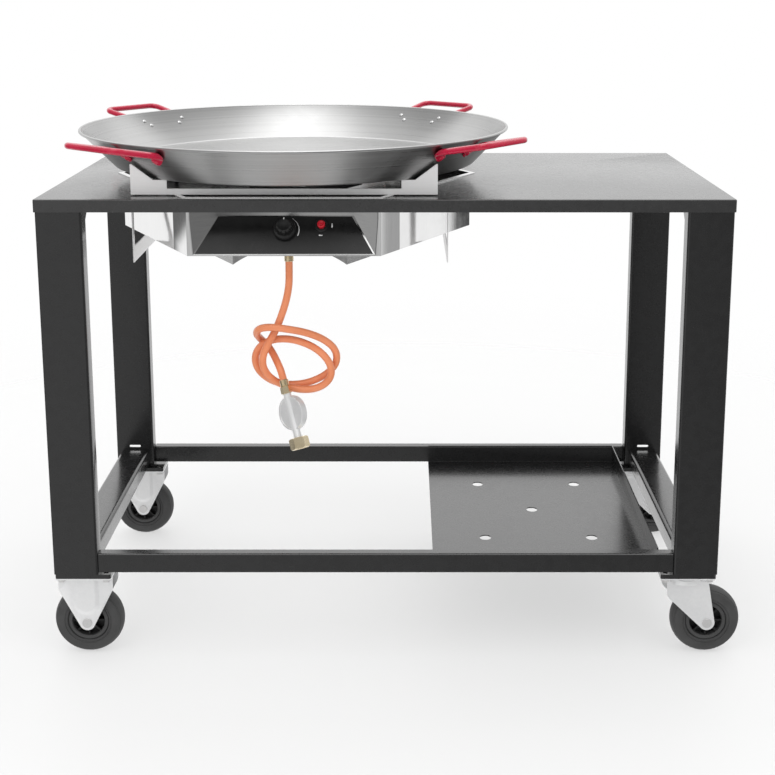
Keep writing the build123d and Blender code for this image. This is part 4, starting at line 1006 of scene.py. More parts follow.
def grown(
    tree: Tree, name: str, finish: Finish, sizes: dict[str, float], points: Mesh | None = None
) -> Mesh:
    """Runs a pattern and gives its result as a plain mesh.

    Args:
        tree: The pattern.
        name: Name of the mesh.
        finish: Finish of the repeated pieces.
        sizes: The pattern's inputs by name.
        points: Points that the pieces stand on, where the pattern needs them.

    Returns:
        The mesh of all the pieces.
    """
    holder = put_in_scene(name, points or bpy.data.meshes.new(name))
    modifier = holder.modifiers.new("pattern", "NODES")
    modifier.node_group = tree
    values = {"Material": finish.material(), **sizes}
    for item in tree.interface.items_tree:
        if item.in_out == "INPUT" and item.name in values:
            modifier[item.identifier] = values[item.name]
    graph = bpy.context.evaluated_depsgraph_get()
    mesh = bpy.data.meshes.new_from_object(holder.evaluated_get(graph))
    bpy.data.objects.remove(holder)
    return mesh


# Sub-assemblies


@dataclass
class Worktable:
    """The folded steel table with its rails and bottle tray."""

    edge: float = 0.0009
    nodes: tuple[str, ...] = (
        "leg_front_left",
        "leg_front_right",
        "leg_back_left",
        "leg_back_right",
        "front_rail",
        "back_rail",
        "side_rail_left",
        "side_rail_right",
        "bottle_tray",
    )

    def build(self) -> None:
        """Shows every sheet of the table in black powder coat, the top a little paler as a painted sheen.
        """
        dress_node("table_top", PAINTED_SHEEN_TOP_COAT, self.edge)
        for node in self.nodes:
            dress_node(node, BLACK_COAT, self.edge)


@dataclass
class Casters:
    """Two fixed and two swivel casters.

    The steps of the tyre's wall are distances from the seat or from the tread, each with how
    far the wall is drawn in there.
    """

    edge: float = 0.0004
    cheek_out: float = 0.025
    band_half: Pair = (0.0165, 0.0235)
    band_foot: float = 0.078
    band_rise: float = 0.0016
    band_step: float = 0.00155
    band_cuts: int = 16
    crown: dict[str, float] = field(default_factory=lambda: {"fixed": 0.003, "swivel": 0.0105})
    bore: float = 0.00605
    boss: float = 0.014
    boss_half: float = 0.022
    web_half: float = 0.004
    recess: float = 0.029
    hub: float = 0.037
    hub_half: float = 0.016
    ribs: int = 8
    rib_width: float = 0.003
    rib_half: float = 0.013
    lap: float = 0.0016
    soft: float = 0.0012
    tyre_seat: float = 0.03705
    tyre: float = 0.0625
    tyre_half: float = 0.018
    tyre_segments: int = 128
    seat_steps: tuple[Pair, ...] = (
        (0.0, 0.0022),
        (0.0012, 0.0008),
        (0.0030, 0.0004),
        (0.0034, 0.0012),
        (0.0052, 0.0012),
        (0.0058, 0.0002),
        (0.0085, 0.0),
    )
    tread_steps: tuple[Pair, ...] = (
        (0.0088, 0.0),
        (0.0064, 0.0012),
        (0.0056, 0.0026),
        (0.0058, 0.0036),
        (0.0042, 0.0042),
        (0.0024, 0.0072),
        (0.0010, 0.0110),
        (0.0002, 0.0150),
    )
    plates: tuple[str, ...] = (
        "fixed_fork_front",
        "fixed_fork_back",
        "swivel_plate_front",
        "swivel_plate_back",
    )
    bolt_pitch: Pair = (0.080, 0.064)
    bolt: dict[str, float] = field(
        default_factory=lambda: {
            "Head Radius": 0.0068,
            "Head Height": 0.0042,
            "Washer Radius": 0.0078,
            "Washer Height": 0.0010,
            "Shank Radius": 0.0039,
            "Shank Height": 0.0085,
        }
    )

    def build(self) -> None:
        """Builds the forks, wheels and bolts."""
        for row in ("front", "back"):
            fixed = self.flat_fork(f"fixed_fork_{row}")
            self.fold_band(fixed, box_centre(f"fixed_fork_{row}"))
            dress_node(f"fixed_fork_{row}", ZINC_PLATE, self.edge, fixed)
            dress_node(f"swivel_plate_{row}", ZINC_PLATE, self.edge)
            swivel = self.flat_fork(f"swivel_fork_{row}")
            dress_node(f"swivel_fork_{row}", ZINC_PLATE, self.edge, swivel)
            dress_node(f"swivel_axle_{row}", PLAIN_STEEL, self.edge)
        dress_node("fixed_axles", PLAIN_STEEL, self.edge)
        for joint in frame["joints"]:
            if joint["name"].startswith("roll_"):
                self.build_wheel(joint)
        self.build_bolts()

    def flat_fork(self, node: str) -> Shape:
        """Copies a fork with the sharp band of each cheek laid flat.

        Args:
            node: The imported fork.

        Returns:
            The copy.
        """
        shape = welded(node)
        middle = box_centre(node).y
        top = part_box(node)[1].z - self.crown[node.split("_")[0]]
        for vert in shape.verts:
            aside = vert.co.y - middle
            if vert.co.z < top and abs(aside) > self.cheek_out:
                vert.co.y = middle + math.copysign(self.cheek_out, aside)
        made_whole(shape)
        return shape

    def outer_faces(self, shape: Shape, middle: float) -> list[bmesh.types.BMFace]:
        """Gives the faces that lie on the outer planes of a fork's cheeks.

        Args:
            shape: The fork.
            middle: Its middle between the cheeks.

        Returns:
            The faces on both sides.
        """
        return [
            face
            for face in shape.faces
            if all(abs(abs(vert.co.y - middle) - self.cheek_out) < 2 * MERGE for vert in face.verts)
        ]

    def fold_band(self, shape: Shape, middle: Vector) -> None:
        """Raises a soft upright band on both cheeks of a fork, round at its lower end.

        Args:
            shape: The fork, its cheeks flat.
            middle: The middle of the fork's box.
        """
        inner, outer = self.band_half
        low = self.band_foot - middle.z
        cuts = [(RIGHT, step * self.band_step) for step in range(-self.band_cuts, self.band_cuts + 1)]
        cuts += [(UP, low + step * self.band_step) for step in range(-1, self.band_cuts)]
        for way, level in cuts:
            faces = self.outer_faces(shape, middle.y)
            edges = {edge for face in faces for edge in face.edges}
            verts = {vert for face in faces for vert in face.verts}
            bmesh.ops.bisect_plane(
                shape,
                geom=[*verts, *edges, *faces],
                plane_co=middle + way * level,
                plane_no=way,
                dist=MERGE,
            )
        for vert in {vert for face in self.outer_faces(shape, middle.y) for vert in face.verts}:
            below = max(0.0, self.band_foot + outer - vert.co.z)
            share = (outer - math.hypot(vert.co.x - middle.x, below)) / (outer - inner)
            rise = self.band_rise * min(1.0, max(0.0, share))
            vert.co.y += math.copysign(rise, vert.co.y - middle.y)

    def build_wheel(self, joint: dict) -> None:
        """Builds the hub and the tyre that turn about one joint.

        Args:
            joint: The wheel's packed joint.
        """
        corner = joint["name"].removeprefix("roll_")
        body = joint["child"]
        place = place_on(joint["pos_m"], joint["axis"], RIGHT)
        sizes = {
            "Count": self.ribs,
            "Radius": (self.boss + self.recess) / 2,
            "Length": self.recess - self.boss + self.lap,
            "Width": self.rib_width,
            "Height": 2 * self.rib_half,
        }
        # The core and ribs take the darkened plastic, which paints the recess's shade.
        name = f"hub_core_{corner}"
        core = turned(name, self.core_rings(), place, closed=True)
        ribs = grown(ring_of_ribs(), f"hub_ribs_{corner}", PAINTED_SHADE_HUB_PLASTIC, sizes)
        ribs.transform(place)
        add_piece(name, joined(name, [core, ribs]), PAINTED_SHADE_HUB_PLASTIC, body, [f"wheel_hub_{corner}"])
        name = f"hub_rim_{corner}"
        rim = turned(name, self.rim_rings(), place, closed=True)
        add_piece(name, rim, WHEEL_RIM, body, [f"wheel_hub_{corner}"])
        name = f"tyre_body_{corner}"
        tyre = turned(name, self.tyre_rings(), place, self.tyre_segments, closed=True)
        add_piece(name, tyre, TYRE_RUBBER, body, [f"tyre_{corner}"])

    def core_rings(self) -> list[Ring]:
        """Gives the section of the hub's boss and web.

        Returns:
            The rings of both halves.
        """
        return mirrored(
            [
                (self.bore, self.boss_half),
                (self.boss - self.soft, self.boss_half),
                (self.boss, self.boss_half - self.soft),
                (self.boss, self.web_half + self.soft),
                (self.boss + self.soft, self.web_half),
                (self.recess + self.lap / 2, self.web_half),
            ]
        )

    def rim_rings(self) -> list[Ring]:
        """Gives the section of the hub's outer ring, which carries the tyre.

        Returns:
            The rings of both halves.
        """
        return mirrored(
            [
                (self.recess, self.hub_half - self.soft),
                (self.recess + self.soft, self.hub_half),
                (self.hub - 2 * self.soft, self.hub_half),
                (self.hub - self.soft, self.hub_half - self.soft / 2),
                (self.hub, self.hub_half - 2 * self.soft),
            ]
        )

    def tyre_rings(self) -> list[Ring]:
        """Gives the tyre's section, with ridges on its walls and a groove at each tread edge.

        Returns:
            The rings of both halves and of the crown between them.
        """
        half = [(self.tyre_seat + out, self.tyre_half - drawn) for out, drawn in self.seat_steps]
        half += [(self.tyre - depth, self.tyre_half - drawn) for depth, drawn in self.tread_steps]
        return mirrored(half, [(self.tyre, 0.0)])

    def build_bolts(self) -> None:
        """Builds the sixteen bolts that hold the caster plates."""
        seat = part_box("caster_bolts")[0].z + self.bolt["Head Height"] + self.bolt["Washer Height"]
        spots = []
        for plate in self.plates:
            middle = box_centre(plate)
            for side_x in (-0.5, 0.5):
                for side_y in (-0.5, 0.5):
                    spot = Vector((middle.x, middle.y, seat))
                    spot += Vector((side_x * self.bolt_pitch[0], side_y * self.bolt_pitch[1], 0))
                    spots.append((spot, -UP))
        bolts = grown(hex_bolts(), "caster_bolt_set", PLAIN_STEEL, self.bolt, facing_points(spots))
        add_piece("caster_bolt_set", bolts, PLAIN_STEEL, "cart", ["caster_bolts"])


@dataclass
class Burner:
    """The stainless housing with its supports, and the star burner in it."""

    edge: float = 0.0003
    bright: dict[str, Finish] = field(
        default_factory=lambda: {
            "housing": STAINLESS,
            "panel_surround": PAINTED_SHADE_FOLDED_STEEL,
            "lower_shroud": PAINTED_SHADE_SHROUD_STEEL,
        }
    )
    satin: tuple[str, ...] = (
        "foot_left",
        "foot_right",
        "support_plate_front",
        "support_plate_back",
        "support_plate_left",
        "support_plate_right",
    )
    inside: dict[str, Finish] = field(
        default_factory=lambda: {
            "star_burner": BURNER_IRON,
            "venturi_tube": BURNER_IRON,
            "gas_valve": BRASS,
            "valve_plug": BRASS,
            "valve_spindle": PLAIN_STEEL,
            "thermocouple": BRASS,
            "electrode": CERAMIC,
        }
    )

    def build(self) -> None:
        """Shows the sheets in bright or satin stainless, the panel surround and the shroud darkened as
        painted shade, and the fittings in their own metals.
        """
        for node, finish in self.bright.items():
            dress_node(node, finish, self.edge)
        for node in self.satin:
            dress_node(node, SATIN_STEEL, self.edge)
        for node, finish in self.inside.items():
            dress_node(node, finish)


@dataclass
class Controls:
    """The black panel with its knob and igniter.

    A dish is a share of a top's radius, with how deep the top is pressed in there. Spans of the
    marks are in degrees, and their widths are those at the first and at the last angle.
    """

    panel_sheet: float = 0.002
    panel_edge: float = 0.0004
    knob_base: float = 0.0066
    knob_soft: float = 0.0008
    knob_segments: int = 240
    skirt: float = 0.020
    skirt_top: float = 0.0184
    skirt_height: float = 0.005
    grip: float = 0.0155
    grip_top: float = 0.014
    height: float = 0.021
    flutes: int = 10
    flute_depth: float = 0.0014
    knob_dish: tuple[Pair, ...] = ((0.7, 0.0001), (0.62, 0.0007), (0.0, 0.0008))
    pointer_at: float = 0.82
    pointer_sink: float = 0.0001
    pointer_size: Point = (0.0018, 0.0036, 0.0008)
    pointer_edge: float = 0.0003
    case_soft: float = 0.0006
    bezel: float = 0.013
    bezel_height: float = 0.003
    bezel_slope: Pair = (0.0016, 0.0010)
    bezel_foot: float = 0.0004
    seat_gap: float = 0.00005
    button: float = 0.007
    button_gap: float = 0.0001
    button_top: float = 0.009
    button_foot: float = -0.0098
    button_round: float = 0.0016
    button_steps: int = 6
    button_dish: tuple[Pair, ...] = ((0.62, 0.0), (0.5, 0.0005), (0.0, 0.0009))
    bore_depth: float = 0.0151
    tube: float = 0.010
    tube_length: float = 0.048
    mark_lift: float = 0.00012
    mark_steps: int = 18
    flame_radius: float = 0.0245
    flame_span: Pair = (-25.0, 62.0)
    flame_widths: Pair = (0.0016, 0.0003)
    tick_radius: float = 0.0185
    tick_spans: tuple[Pair, ...] = ((-12.0, 12.0), (-102.0, -82.0))
    tick_widths: Pair = (0.0022, 0.0012)

    def __post_init__(self) -> None:
        """Reads the panel's place from the knob's joint, and the igniter's place on the panel."""
        joint = joint_named("valve_turn")
        out = Vector(joint["axis"]).normalized()
        self.face = place_on(Vector(joint["pos_m"]) + out * self.panel_sheet, out, RIGHT)
        spot = self.face.inverted() @ box_centre("igniter_button")
        self.igniter = Vector((spot.x, spot.y, 0))

    def build(self) -> None:
        """Builds the panel, knob, igniter and marks."""
        dress_node("control_panel", PANEL_BLACK, self.panel_edge)
        self.build_knob()
        self.build_igniter()
        self.build_marks()

    def fluted(self, radius: float, height: float) -> Ring:
        """Gives a ring of the grip, drawn in at each flute.

        Args:
            radius: Radius between the flutes.
            height: Height of the ring.

        Returns:
            Radius and height by angle.
        """

        def ring(angle: float) -> Pair:
            """Gives the radius and height at one angle."""
            wave = max(0.0, math.cos(self.flutes * (angle - TURN / 4) + math.pi))
            return radius - self.flute_depth * wave**3, height

        return ring

    def build_knob(self) -> None:
        """Builds the fluted knob and its white pointer."""
        place = self.face @ Matrix.Translation((0, 0, self.knob_base - self.panel_sheet))
        soft = self.knob_soft
        rings = [
            circle(0.0, 0.0),
            circle(self.skirt - soft, 0.0),
            circle(self.skirt, soft),
            circle(self.skirt_top + soft / 2, self.skirt_height - soft),
            circle(self.skirt_top - soft / 2, self.skirt_height - soft / 4),
            circle(self.grip + soft, self.skirt_height),
            self.fluted(self.grip, self.skirt_height + soft),
            self.fluted(self.grip_top, self.height - 2 * soft),
            self.fluted(self.grip_top - soft / 3, self.height - soft),
            self.fluted(self.grip_top - soft, self.height - soft / 3),
            self.fluted(self.grip_top - 2 * soft, self.height),
        ]
        rings += [circle(self.grip_top * share, self.height - depth) for share, depth in self.knob_dish]
        mesh = turned("knob_body", rings, place, self.knob_segments)
        add_piece("knob_body", mesh, KNOB_BLACK, "knob", ["knob"])
        pointer = bmesh.new()
        bmesh.ops.create_cube(pointer, size=1.0)
        spot = Vector((0, self.grip_top * self.pointer_at, self.height - self.pointer_sink))
        pointer.transform(Matrix.Translation(spot) @ Matrix.Diagonal((*self.pointer_size, 1)))
        pointer.transform(place)
        mesh = to_mesh(pointer, "knob_pointer")
        add_piece("knob_pointer", mesh, PRINT_WHITE, "knob", edge=self.pointer_edge)

    def build_igniter(self) -> None:
        """Builds the igniter's case and red button."""
        place = self.face @ Matrix.Translation(self.igniter)
        soft = self.case_soft
        bore = self.button + self.button_gap
        slope_top, slope_foot = self.bezel_slope
        rings = [
            circle(bore, -self.bore_depth),
            circle(bore, self.bezel_height - soft),
            circle(bore + soft, self.bezel_height),
            circle(self.bezel - slope_top, self.bezel_height),
            circle(self.bezel - slope_foot, self.bezel_height - soft),
            circle(self.bezel, self.bezel_foot),
            circle(self.bezel, self.seat_gap),
            circle(self.tube, self.seat_gap),
            circle(self.tube, soft - self.tube_length),
            circle(self.tube - soft, -self.tube_length),
        ]
        case = turned("igniter_case", capped(-self.bore_depth, rings, -self.tube_length), place)
        add_piece("igniter_case", case, IGNITER_BLACK, "cart", ["igniter_body"])
        side = self.button - self.button_gap
        shoulder = self.button_top - self.button_round
        rings = [
            circle(0.0, self.button_foot),
            circle(side, self.button_foot),
            circle(side, shoulder),
            *arc((side - self.button_round, shoulder), self.button_round, 0, 90, self.button_steps),
        ]
        rings += [circle(self.button * share, self.button_top - depth) for share, depth in self.button_dish]
        cap = turned("igniter_button_cap", rings, place)
        add_piece("igniter_button_cap", cap, IGNITER_RED, "igniter_button", ["igniter_button"])

    def build_marks(self) -> None:
        """Builds the plain white marks of the panel: a flame wedge and spark ticks."""
        marks = [self.wedge(Vector(), self.flame_radius, self.flame_span, self.flame_widths)]
        for span in self.tick_spans:
            marks.append(self.wedge(self.igniter, self.tick_radius, span, self.tick_widths))
        mesh = joined("panel_marks", marks)
        mesh.transform(self.face)
        add_piece("panel_marks", mesh, PRINT_WHITE, "cart")

    def wedge(self, centre: Vector, radius: float, span: Pair, widths: Pair) -> Mesh:
        """Builds a curved mark that narrows along its length.

        Args:
            centre: Middle of its arc on the panel.
            radius: Radius of its arc.
            span: First and last angle in degrees.
            widths: Width at the first and at the last angle.

        Returns:
            The mark, flat on the panel's own axes.
        """
        rows = []
        for step in range(self.mark_steps + 1):
            share = step / self.mark_steps
            angle = math.radians(span[0] + (span[1] - span[0]) * share)
            half = (widths[0] + (widths[1] - widths[0]) * share) / 2
            out = Vector((math.cos(angle), math.sin(angle), 0))
            inner = centre + out * (radius - half)
            outer = centre + out * (radius + half)
            lift = UP * self.mark_lift
            rows.append([inner, outer, outer + lift, inner + lift])
        return skinned("mark", rows)


@dataclass
class GasLine:
    """The orange hose from the burner to the hanging regulator.

    The route's steps are measured from the hose's start under the connector.
    """

    radius: float = 0.0065
    length: float = 1.039
    steps: tuple[Point, ...] = (
        (0.0, 0.0, 0.0),
        (0.0, 0.0, -0.0200),
        (-0.0005, 0.0005, -0.0400),
        (-0.0035, 0.0, -0.0600),
        (-0.0086, -0.0020, -0.0800),
        (-0.0166, -0.0060, -0.1030),
        (-0.0264, -0.0100, -0.1260),
        (-0.0385, -0.0120, -0.1465),
        (-0.0475, -0.0130, -0.1660),
        (-0.0490, -0.0115, -0.1860),
        (-0.0410, -0.0070, -0.2050),
        (-0.0255, -0.0030, -0.2190),
        (-0.0030, -0.0010, -0.2295),
        (0.0210, 0.0, -0.2345),
        (0.0460, 0.0, -0.2320),
        (0.0655, 0.0, -0.2200),
        (0.0735, 0.0, -0.2010),
        (0.0665, 0.0005, -0.1790),
        (0.0470, 0.0020, -0.1595),
        (0.0200, 0.0035, -0.1465),
        (-0.0080, 0.0050, -0.1410),
        (-0.0350, 0.0050, -0.1435),
        (-0.0560, 0.0050, -0.1560),
        (-0.0650, 0.0065, -0.1770),
        (-0.0595, 0.0095, -0.2000),
        (-0.0410, 0.0130, -0.2190),
        (-0.0150, 0.0155, -0.2290),
        (0.0140, 0.0165, -0.2295),
        (0.0420, 0.0170, -0.2220),
        (0.0660, 0.0175, -0.2080),
        (0.0816, 0.0165, -0.1880),
        (0.0795, 0.0125, -0.1630),
        (0.0590, 0.0040, -0.1420),
        (0.0290, -0.0100, -0.1260),
        (-0.0040, -0.0240, -0.1160),
        (-0.0330, -0.0270, -0.1115),
        (-0.0530, -0.0170, -0.1170),
        (-0.0610, 0.0035, -0.1310),
        (-0.0560, 0.0210, -0.1455),
        (-0.0440, 0.0255, -0.1580),
        (-0.0335, 0.0180, -0.1710),
        (-0.0243, 0.0050, -0.1845),
        (-0.0162, -0.0082, -0.1972),
        (-0.0120, -0.0140, -0.2115),
    )
    hose_order: int = 3
    hose_steps: int = 10
    hose_sides: int = 8
    ferrule: float = 0.0082
    ferrule_soft: float = 0.0006
    groove: float = 0.0005
    groove_half: Pair = (0.28, 0.1)
    chamfer: Pair = (0.0006, 0.0004)
    chamfer_slope: float = 0.6
    seat_gap: float = 0.00005
    connector_flats: float = 0.017
    connector_nut: float = 0.009
    connector_ribs: int = 3
    inlet: float = 0.0059
    inlet_length: float = 0.0115
    tail_flats: float = 0.017
    tail_ferrule: float = 0.012
    tail_length: float = 0.025
    tail_ribs: int = 4
    soft: float = 0.0008
    stem: float = 0.007
    stem_length: float = 0.088
    collar: float = 0.0095
    collar_length: float = 0.003
    collar_foot: Pair = (0.0005, 0.0015)
    disc: float = 0.030
    disc_at: float = 0.035
    disc_front: float = 0.003
    disc_back: float = -0.009
    disc_rim: float = 0.003
    disc_turn: float = 38.0
    disc_segments: int = 128
    edge_steps: int = 4
    rim_height: float = 0.0012
    bonnet: float = 0.024
    bonnet_end: float = 0.0194
    bonnet_back: float = -0.017
    union_at: float = 0.104
    union_flats: float = 0.030
    union_length: float = 0.020
    union_segments: int = 120
    union_bore: float = 0.0109
    bore_depth: float = 0.011
    bore_mouth: float = 0.0010
    stem_hole: float = 0.0074
    pocket: float = 0.0102
    pocket_depth: float = 0.003
    thread_from: float = 0.0008
    thread_pitch: float = 0.0018
    thread_depth: float = 0.0005
    thread_steps: int = 36

    def __post_init__(self) -> None:
        """Reads the hose's start from the frame and finds its end."""
        self.start = box_foot("hose_connector")
        self.spots = [self.start + Vector(step) for step in self.steps]
        self.end = self.spots[-1]
        self.axis = (self.spots[-1] - self.spots[-2]).normalized()
        self.across = self.axis.cross(UP).normalized()

    def build(self) -> None:
        """Builds the hose with its fittings and the regulator."""
        self.build_connector()
        tail = self.build_tail()
        regulator = self.build_regulator()
        nut = self.build_nut()
        hose = self.build_hose()

    def build_hose(self) -> Piece:
        """Builds the hose as one smooth curve along its route.

        Returns:
            The hose.
        """
        curve = bpy.data.curves.new("hose_line", "CURVE")
        curve.dimensions = "3D"
        spline = curve.splines.new("NURBS")
        spline.points.add(len(self.spots) - 1)
        for point, spot in zip(spline.points, self.spots):
            point.co = (*spot, 1.0)
        spline.order_u = self.hose_order
        spline.use_endpoint_u = True
        spline.resolution_u = self.hose_steps
        curve.bevel_depth = self.radius
        curve.bevel_resolution = self.hose_sides
        curve.use_fill_caps = True
        curve.materials.append(ORANGE_HOSE.material())
        hose = put_in_scene("hose_line", curve)
        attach(hose, "cart")
        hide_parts("gas_hose")
        LOG.info("hose_line rides on cart, %d route points", len(self.spots))
        return hose

    def along(self, distance: float) -> Matrix:
        """Gives the placing of a fitting some way past the hose's end, on its line."""
        return place_on(self.end + self.axis * distance, self.axis, self.across)

    def crimped(self, start: float, end: float, ribs: int) -> list[Ring]:
        """Gives the rings of a ferrule pressed on the hose, with rolled grooves.

        Args:
            start: Height of its first end.
            end: Height of its last end.
            ribs: Number of grooves.

        Returns:
            The rings of its outline, closed on the axis.
        """
        soft = self.ferrule_soft
        mouth, floor = self.groove_half
        pitch = (end - start - 2 * soft) / ribs
        rings = [circle(self.ferrule - soft, start), circle(self.ferrule, start + soft)]
        for rib in range(ribs):
            middle = start + soft + pitch * (rib + 0.5)
            for share, depth in ((-mouth, 0.0), (-floor, self.groove), (floor, self.groove), (mouth, 0.0)):
                rings.append(circle(self.ferrule - depth, middle + share * pitch))
        rings += [circle(self.ferrule, end - soft), circle(self.ferrule - soft, end)]
        return capped(start, rings, end)

    def nut_rings(self, flats: float, start: float, end: float) -> list[Ring]:
        """Gives the rings of a hexagon nut with turned chamfers on both faces.

        Args:
            flats: Width across its flats.
            start: Height of its first face.
            end: Height of its last face.

        Returns:
            The rings of its outside, from face to face.
        """
        inset, drop = self.chamfer
        return [
            circle(flats / 2 - inset, start),
            hexagon(flats, start + drop, -self.chamfer_slope),
            hexagon(flats, end - drop, self.chamfer_slope),
            circle(flats / 2 - inset, end),
        ]

    def build_connector(self) -> None:
        """Builds the brass nut under the housing and the ferrule on the hose."""
        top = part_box("housing")[0].z
        place = place_on((self.start.x, self.start.y, top), -UP, RIGHT)
        drop = top - self.start.z
        end = self.connector_nut
        nut = self.nut_rings(self.connector_flats, self.seat_gap, end)
        stem = [circle(self.inlet, -self.inlet_length), circle(self.inlet, 0.0)]
        pieces = [
            turned("nut", capped(self.seat_gap, nut, end), place),
            turned("ferrule", self.crimped(end, drop, self.connector_ribs), place),
            turned("stem", capped(-self.inlet_length, stem, 0.0), place),
        ]
        add_piece("connector_body", joined("connector_body", pieces), BRASS, "cart", ["hose_connector"])

    def build_tail(self) -> Piece:
        """Builds the brass tail between the hose and the regulator.

        Returns:
            The tail.
        """
        place = self.along(0.0)
        start = self.tail_ferrule
        end = self.tail_length
        nut = self.nut_rings(self.tail_flats, start, end)
        pieces = [
            turned("tail_ferrule", self.crimped(0.0, start, self.tail_ribs), place),
            turned("tail_nut", capped(start, nut, end), place),
        ]
        return add_piece("tail_body", joined("tail_body", pieces), BRASS, "cart", ["hose_tail"])

    def build_regulator(self) -> Piece:
        """Builds the cast regulator: its stem stands out across a rimmed disc.

        Returns:
            The regulator.
        """
        pieces = [
            turned("regulator_stem", self.stem_rings(), self.along(self.tail_length)),
            turned("regulator_disc", self.disc_rings(), self.disc_place(), self.disc_segments),
        ]
        mesh = joined("regulator_casting", pieces)
        return add_piece("regulator_casting", mesh, ZINC_CASTING, "cart", ["regulator_body"])

    def stem_rings(self) -> list[Ring]:
        """Gives the outline of the regulator's stem, which ends in a collar inside the union nut.

        Returns:
            The rings of the outline, closed on the axis.
        """
        length = self.stem_length
        foot = length - self.collar_length
        rise, run = self.collar_foot
        rings = [
            circle(self.stem - self.soft, 0.0),
            circle(self.stem, self.soft),
            circle(self.stem, foot - run),
            circle(self.stem + rise, foot),
            circle(self.collar, foot),
            circle(self.collar, length - self.soft),
            circle(self.collar - self.soft, length),
        ]
        return capped(0.0, rings, length)

    def disc_place(self) -> Matrix:
        """Gives the placing of the regulator's disc, which faces forward and to the side.

        Returns:
            The placing as a 4x4 matrix.
        """
        facing = (FRONT - self.axis * FRONT.dot(self.axis)).normalized()
        facing = Matrix.Rotation(math.radians(self.disc_turn), 3, self.axis) @ facing
        return place_on(self.end + self.axis * (self.tail_length + self.disc_at), facing, self.axis)

    def disc_rings(self) -> list[Ring]:
        """Gives the outline of the regulator's disc, from the bonnet's back to the rimmed face.

        Returns:
            The rings of the outline, closed on the axis.
        """
        soft = self.soft
        inner = self.disc - self.disc_rim
        rim = self.disc_front + self.rim_height
        rings = [
            circle(self.bonnet_end - soft, self.bonnet_back),
            circle(self.bonnet_end, self.bonnet_back + soft),
            circle(self.bonnet, self.disc_back - soft / 2),
            circle(self.bonnet + soft / 2, self.disc_back),
            *arc((self.disc - 2 * soft, self.disc_back + 2 * soft), 2 * soft, -90, 0, self.edge_steps),
            *arc((self.disc - soft, rim - soft), soft, 0, 90, self.edge_steps),
            circle(inner + soft / 2, rim),
            circle(inner - soft / 2, self.disc_front),
        ]
        return capped(self.bonnet_back, rings, self.disc_front)

    def threaded(self, height: float) -> Ring:
        """Gives a ring of the union nut's thread at one height.

        Args:
            height: Height of the ring.

        Returns:
            Radius and height by angle.
        """

        def ring(angle: float) -> Pair:
            """Gives the radius and height at one angle."""
            phase = (height / self.thread_pitch - angle / TURN) % 1.0
            return self.union_bore + self.thread_depth * abs(2 * phase - 1), height

        return ring

    def build_nut(self) -> Piece:
        """Builds the union nut, with a thread in its bore and a pocket for the stem's collar.

        Returns:
            The nut.
        """
        length = self.union_length
        foot = length - self.bore_depth
        seat = foot - self.pocket_depth
        run = self.bore_depth - self.thread_from
        rings = [circle(self.stem_hole, 0.0), *self.nut_rings(self.union_flats, 0.0, length)]
        rings.append(circle(self.union_bore + self.bore_mouth, length))
        for step in range(self.thread_steps + 1):
            rings.append(self.threaded(length - self.thread_from - run * step / self.thread_steps))
        rings += [circle(self.pocket, foot), circle(self.pocket, seat), circle(self.stem_hole, seat)]
        nut = turned("union_nut", rings, self.along(self.union_at), self.union_segments, closed=True)
        return add_piece("union_nut", nut, BRASS, joint_named("union_turn")["child"], ["regulator_nut"])


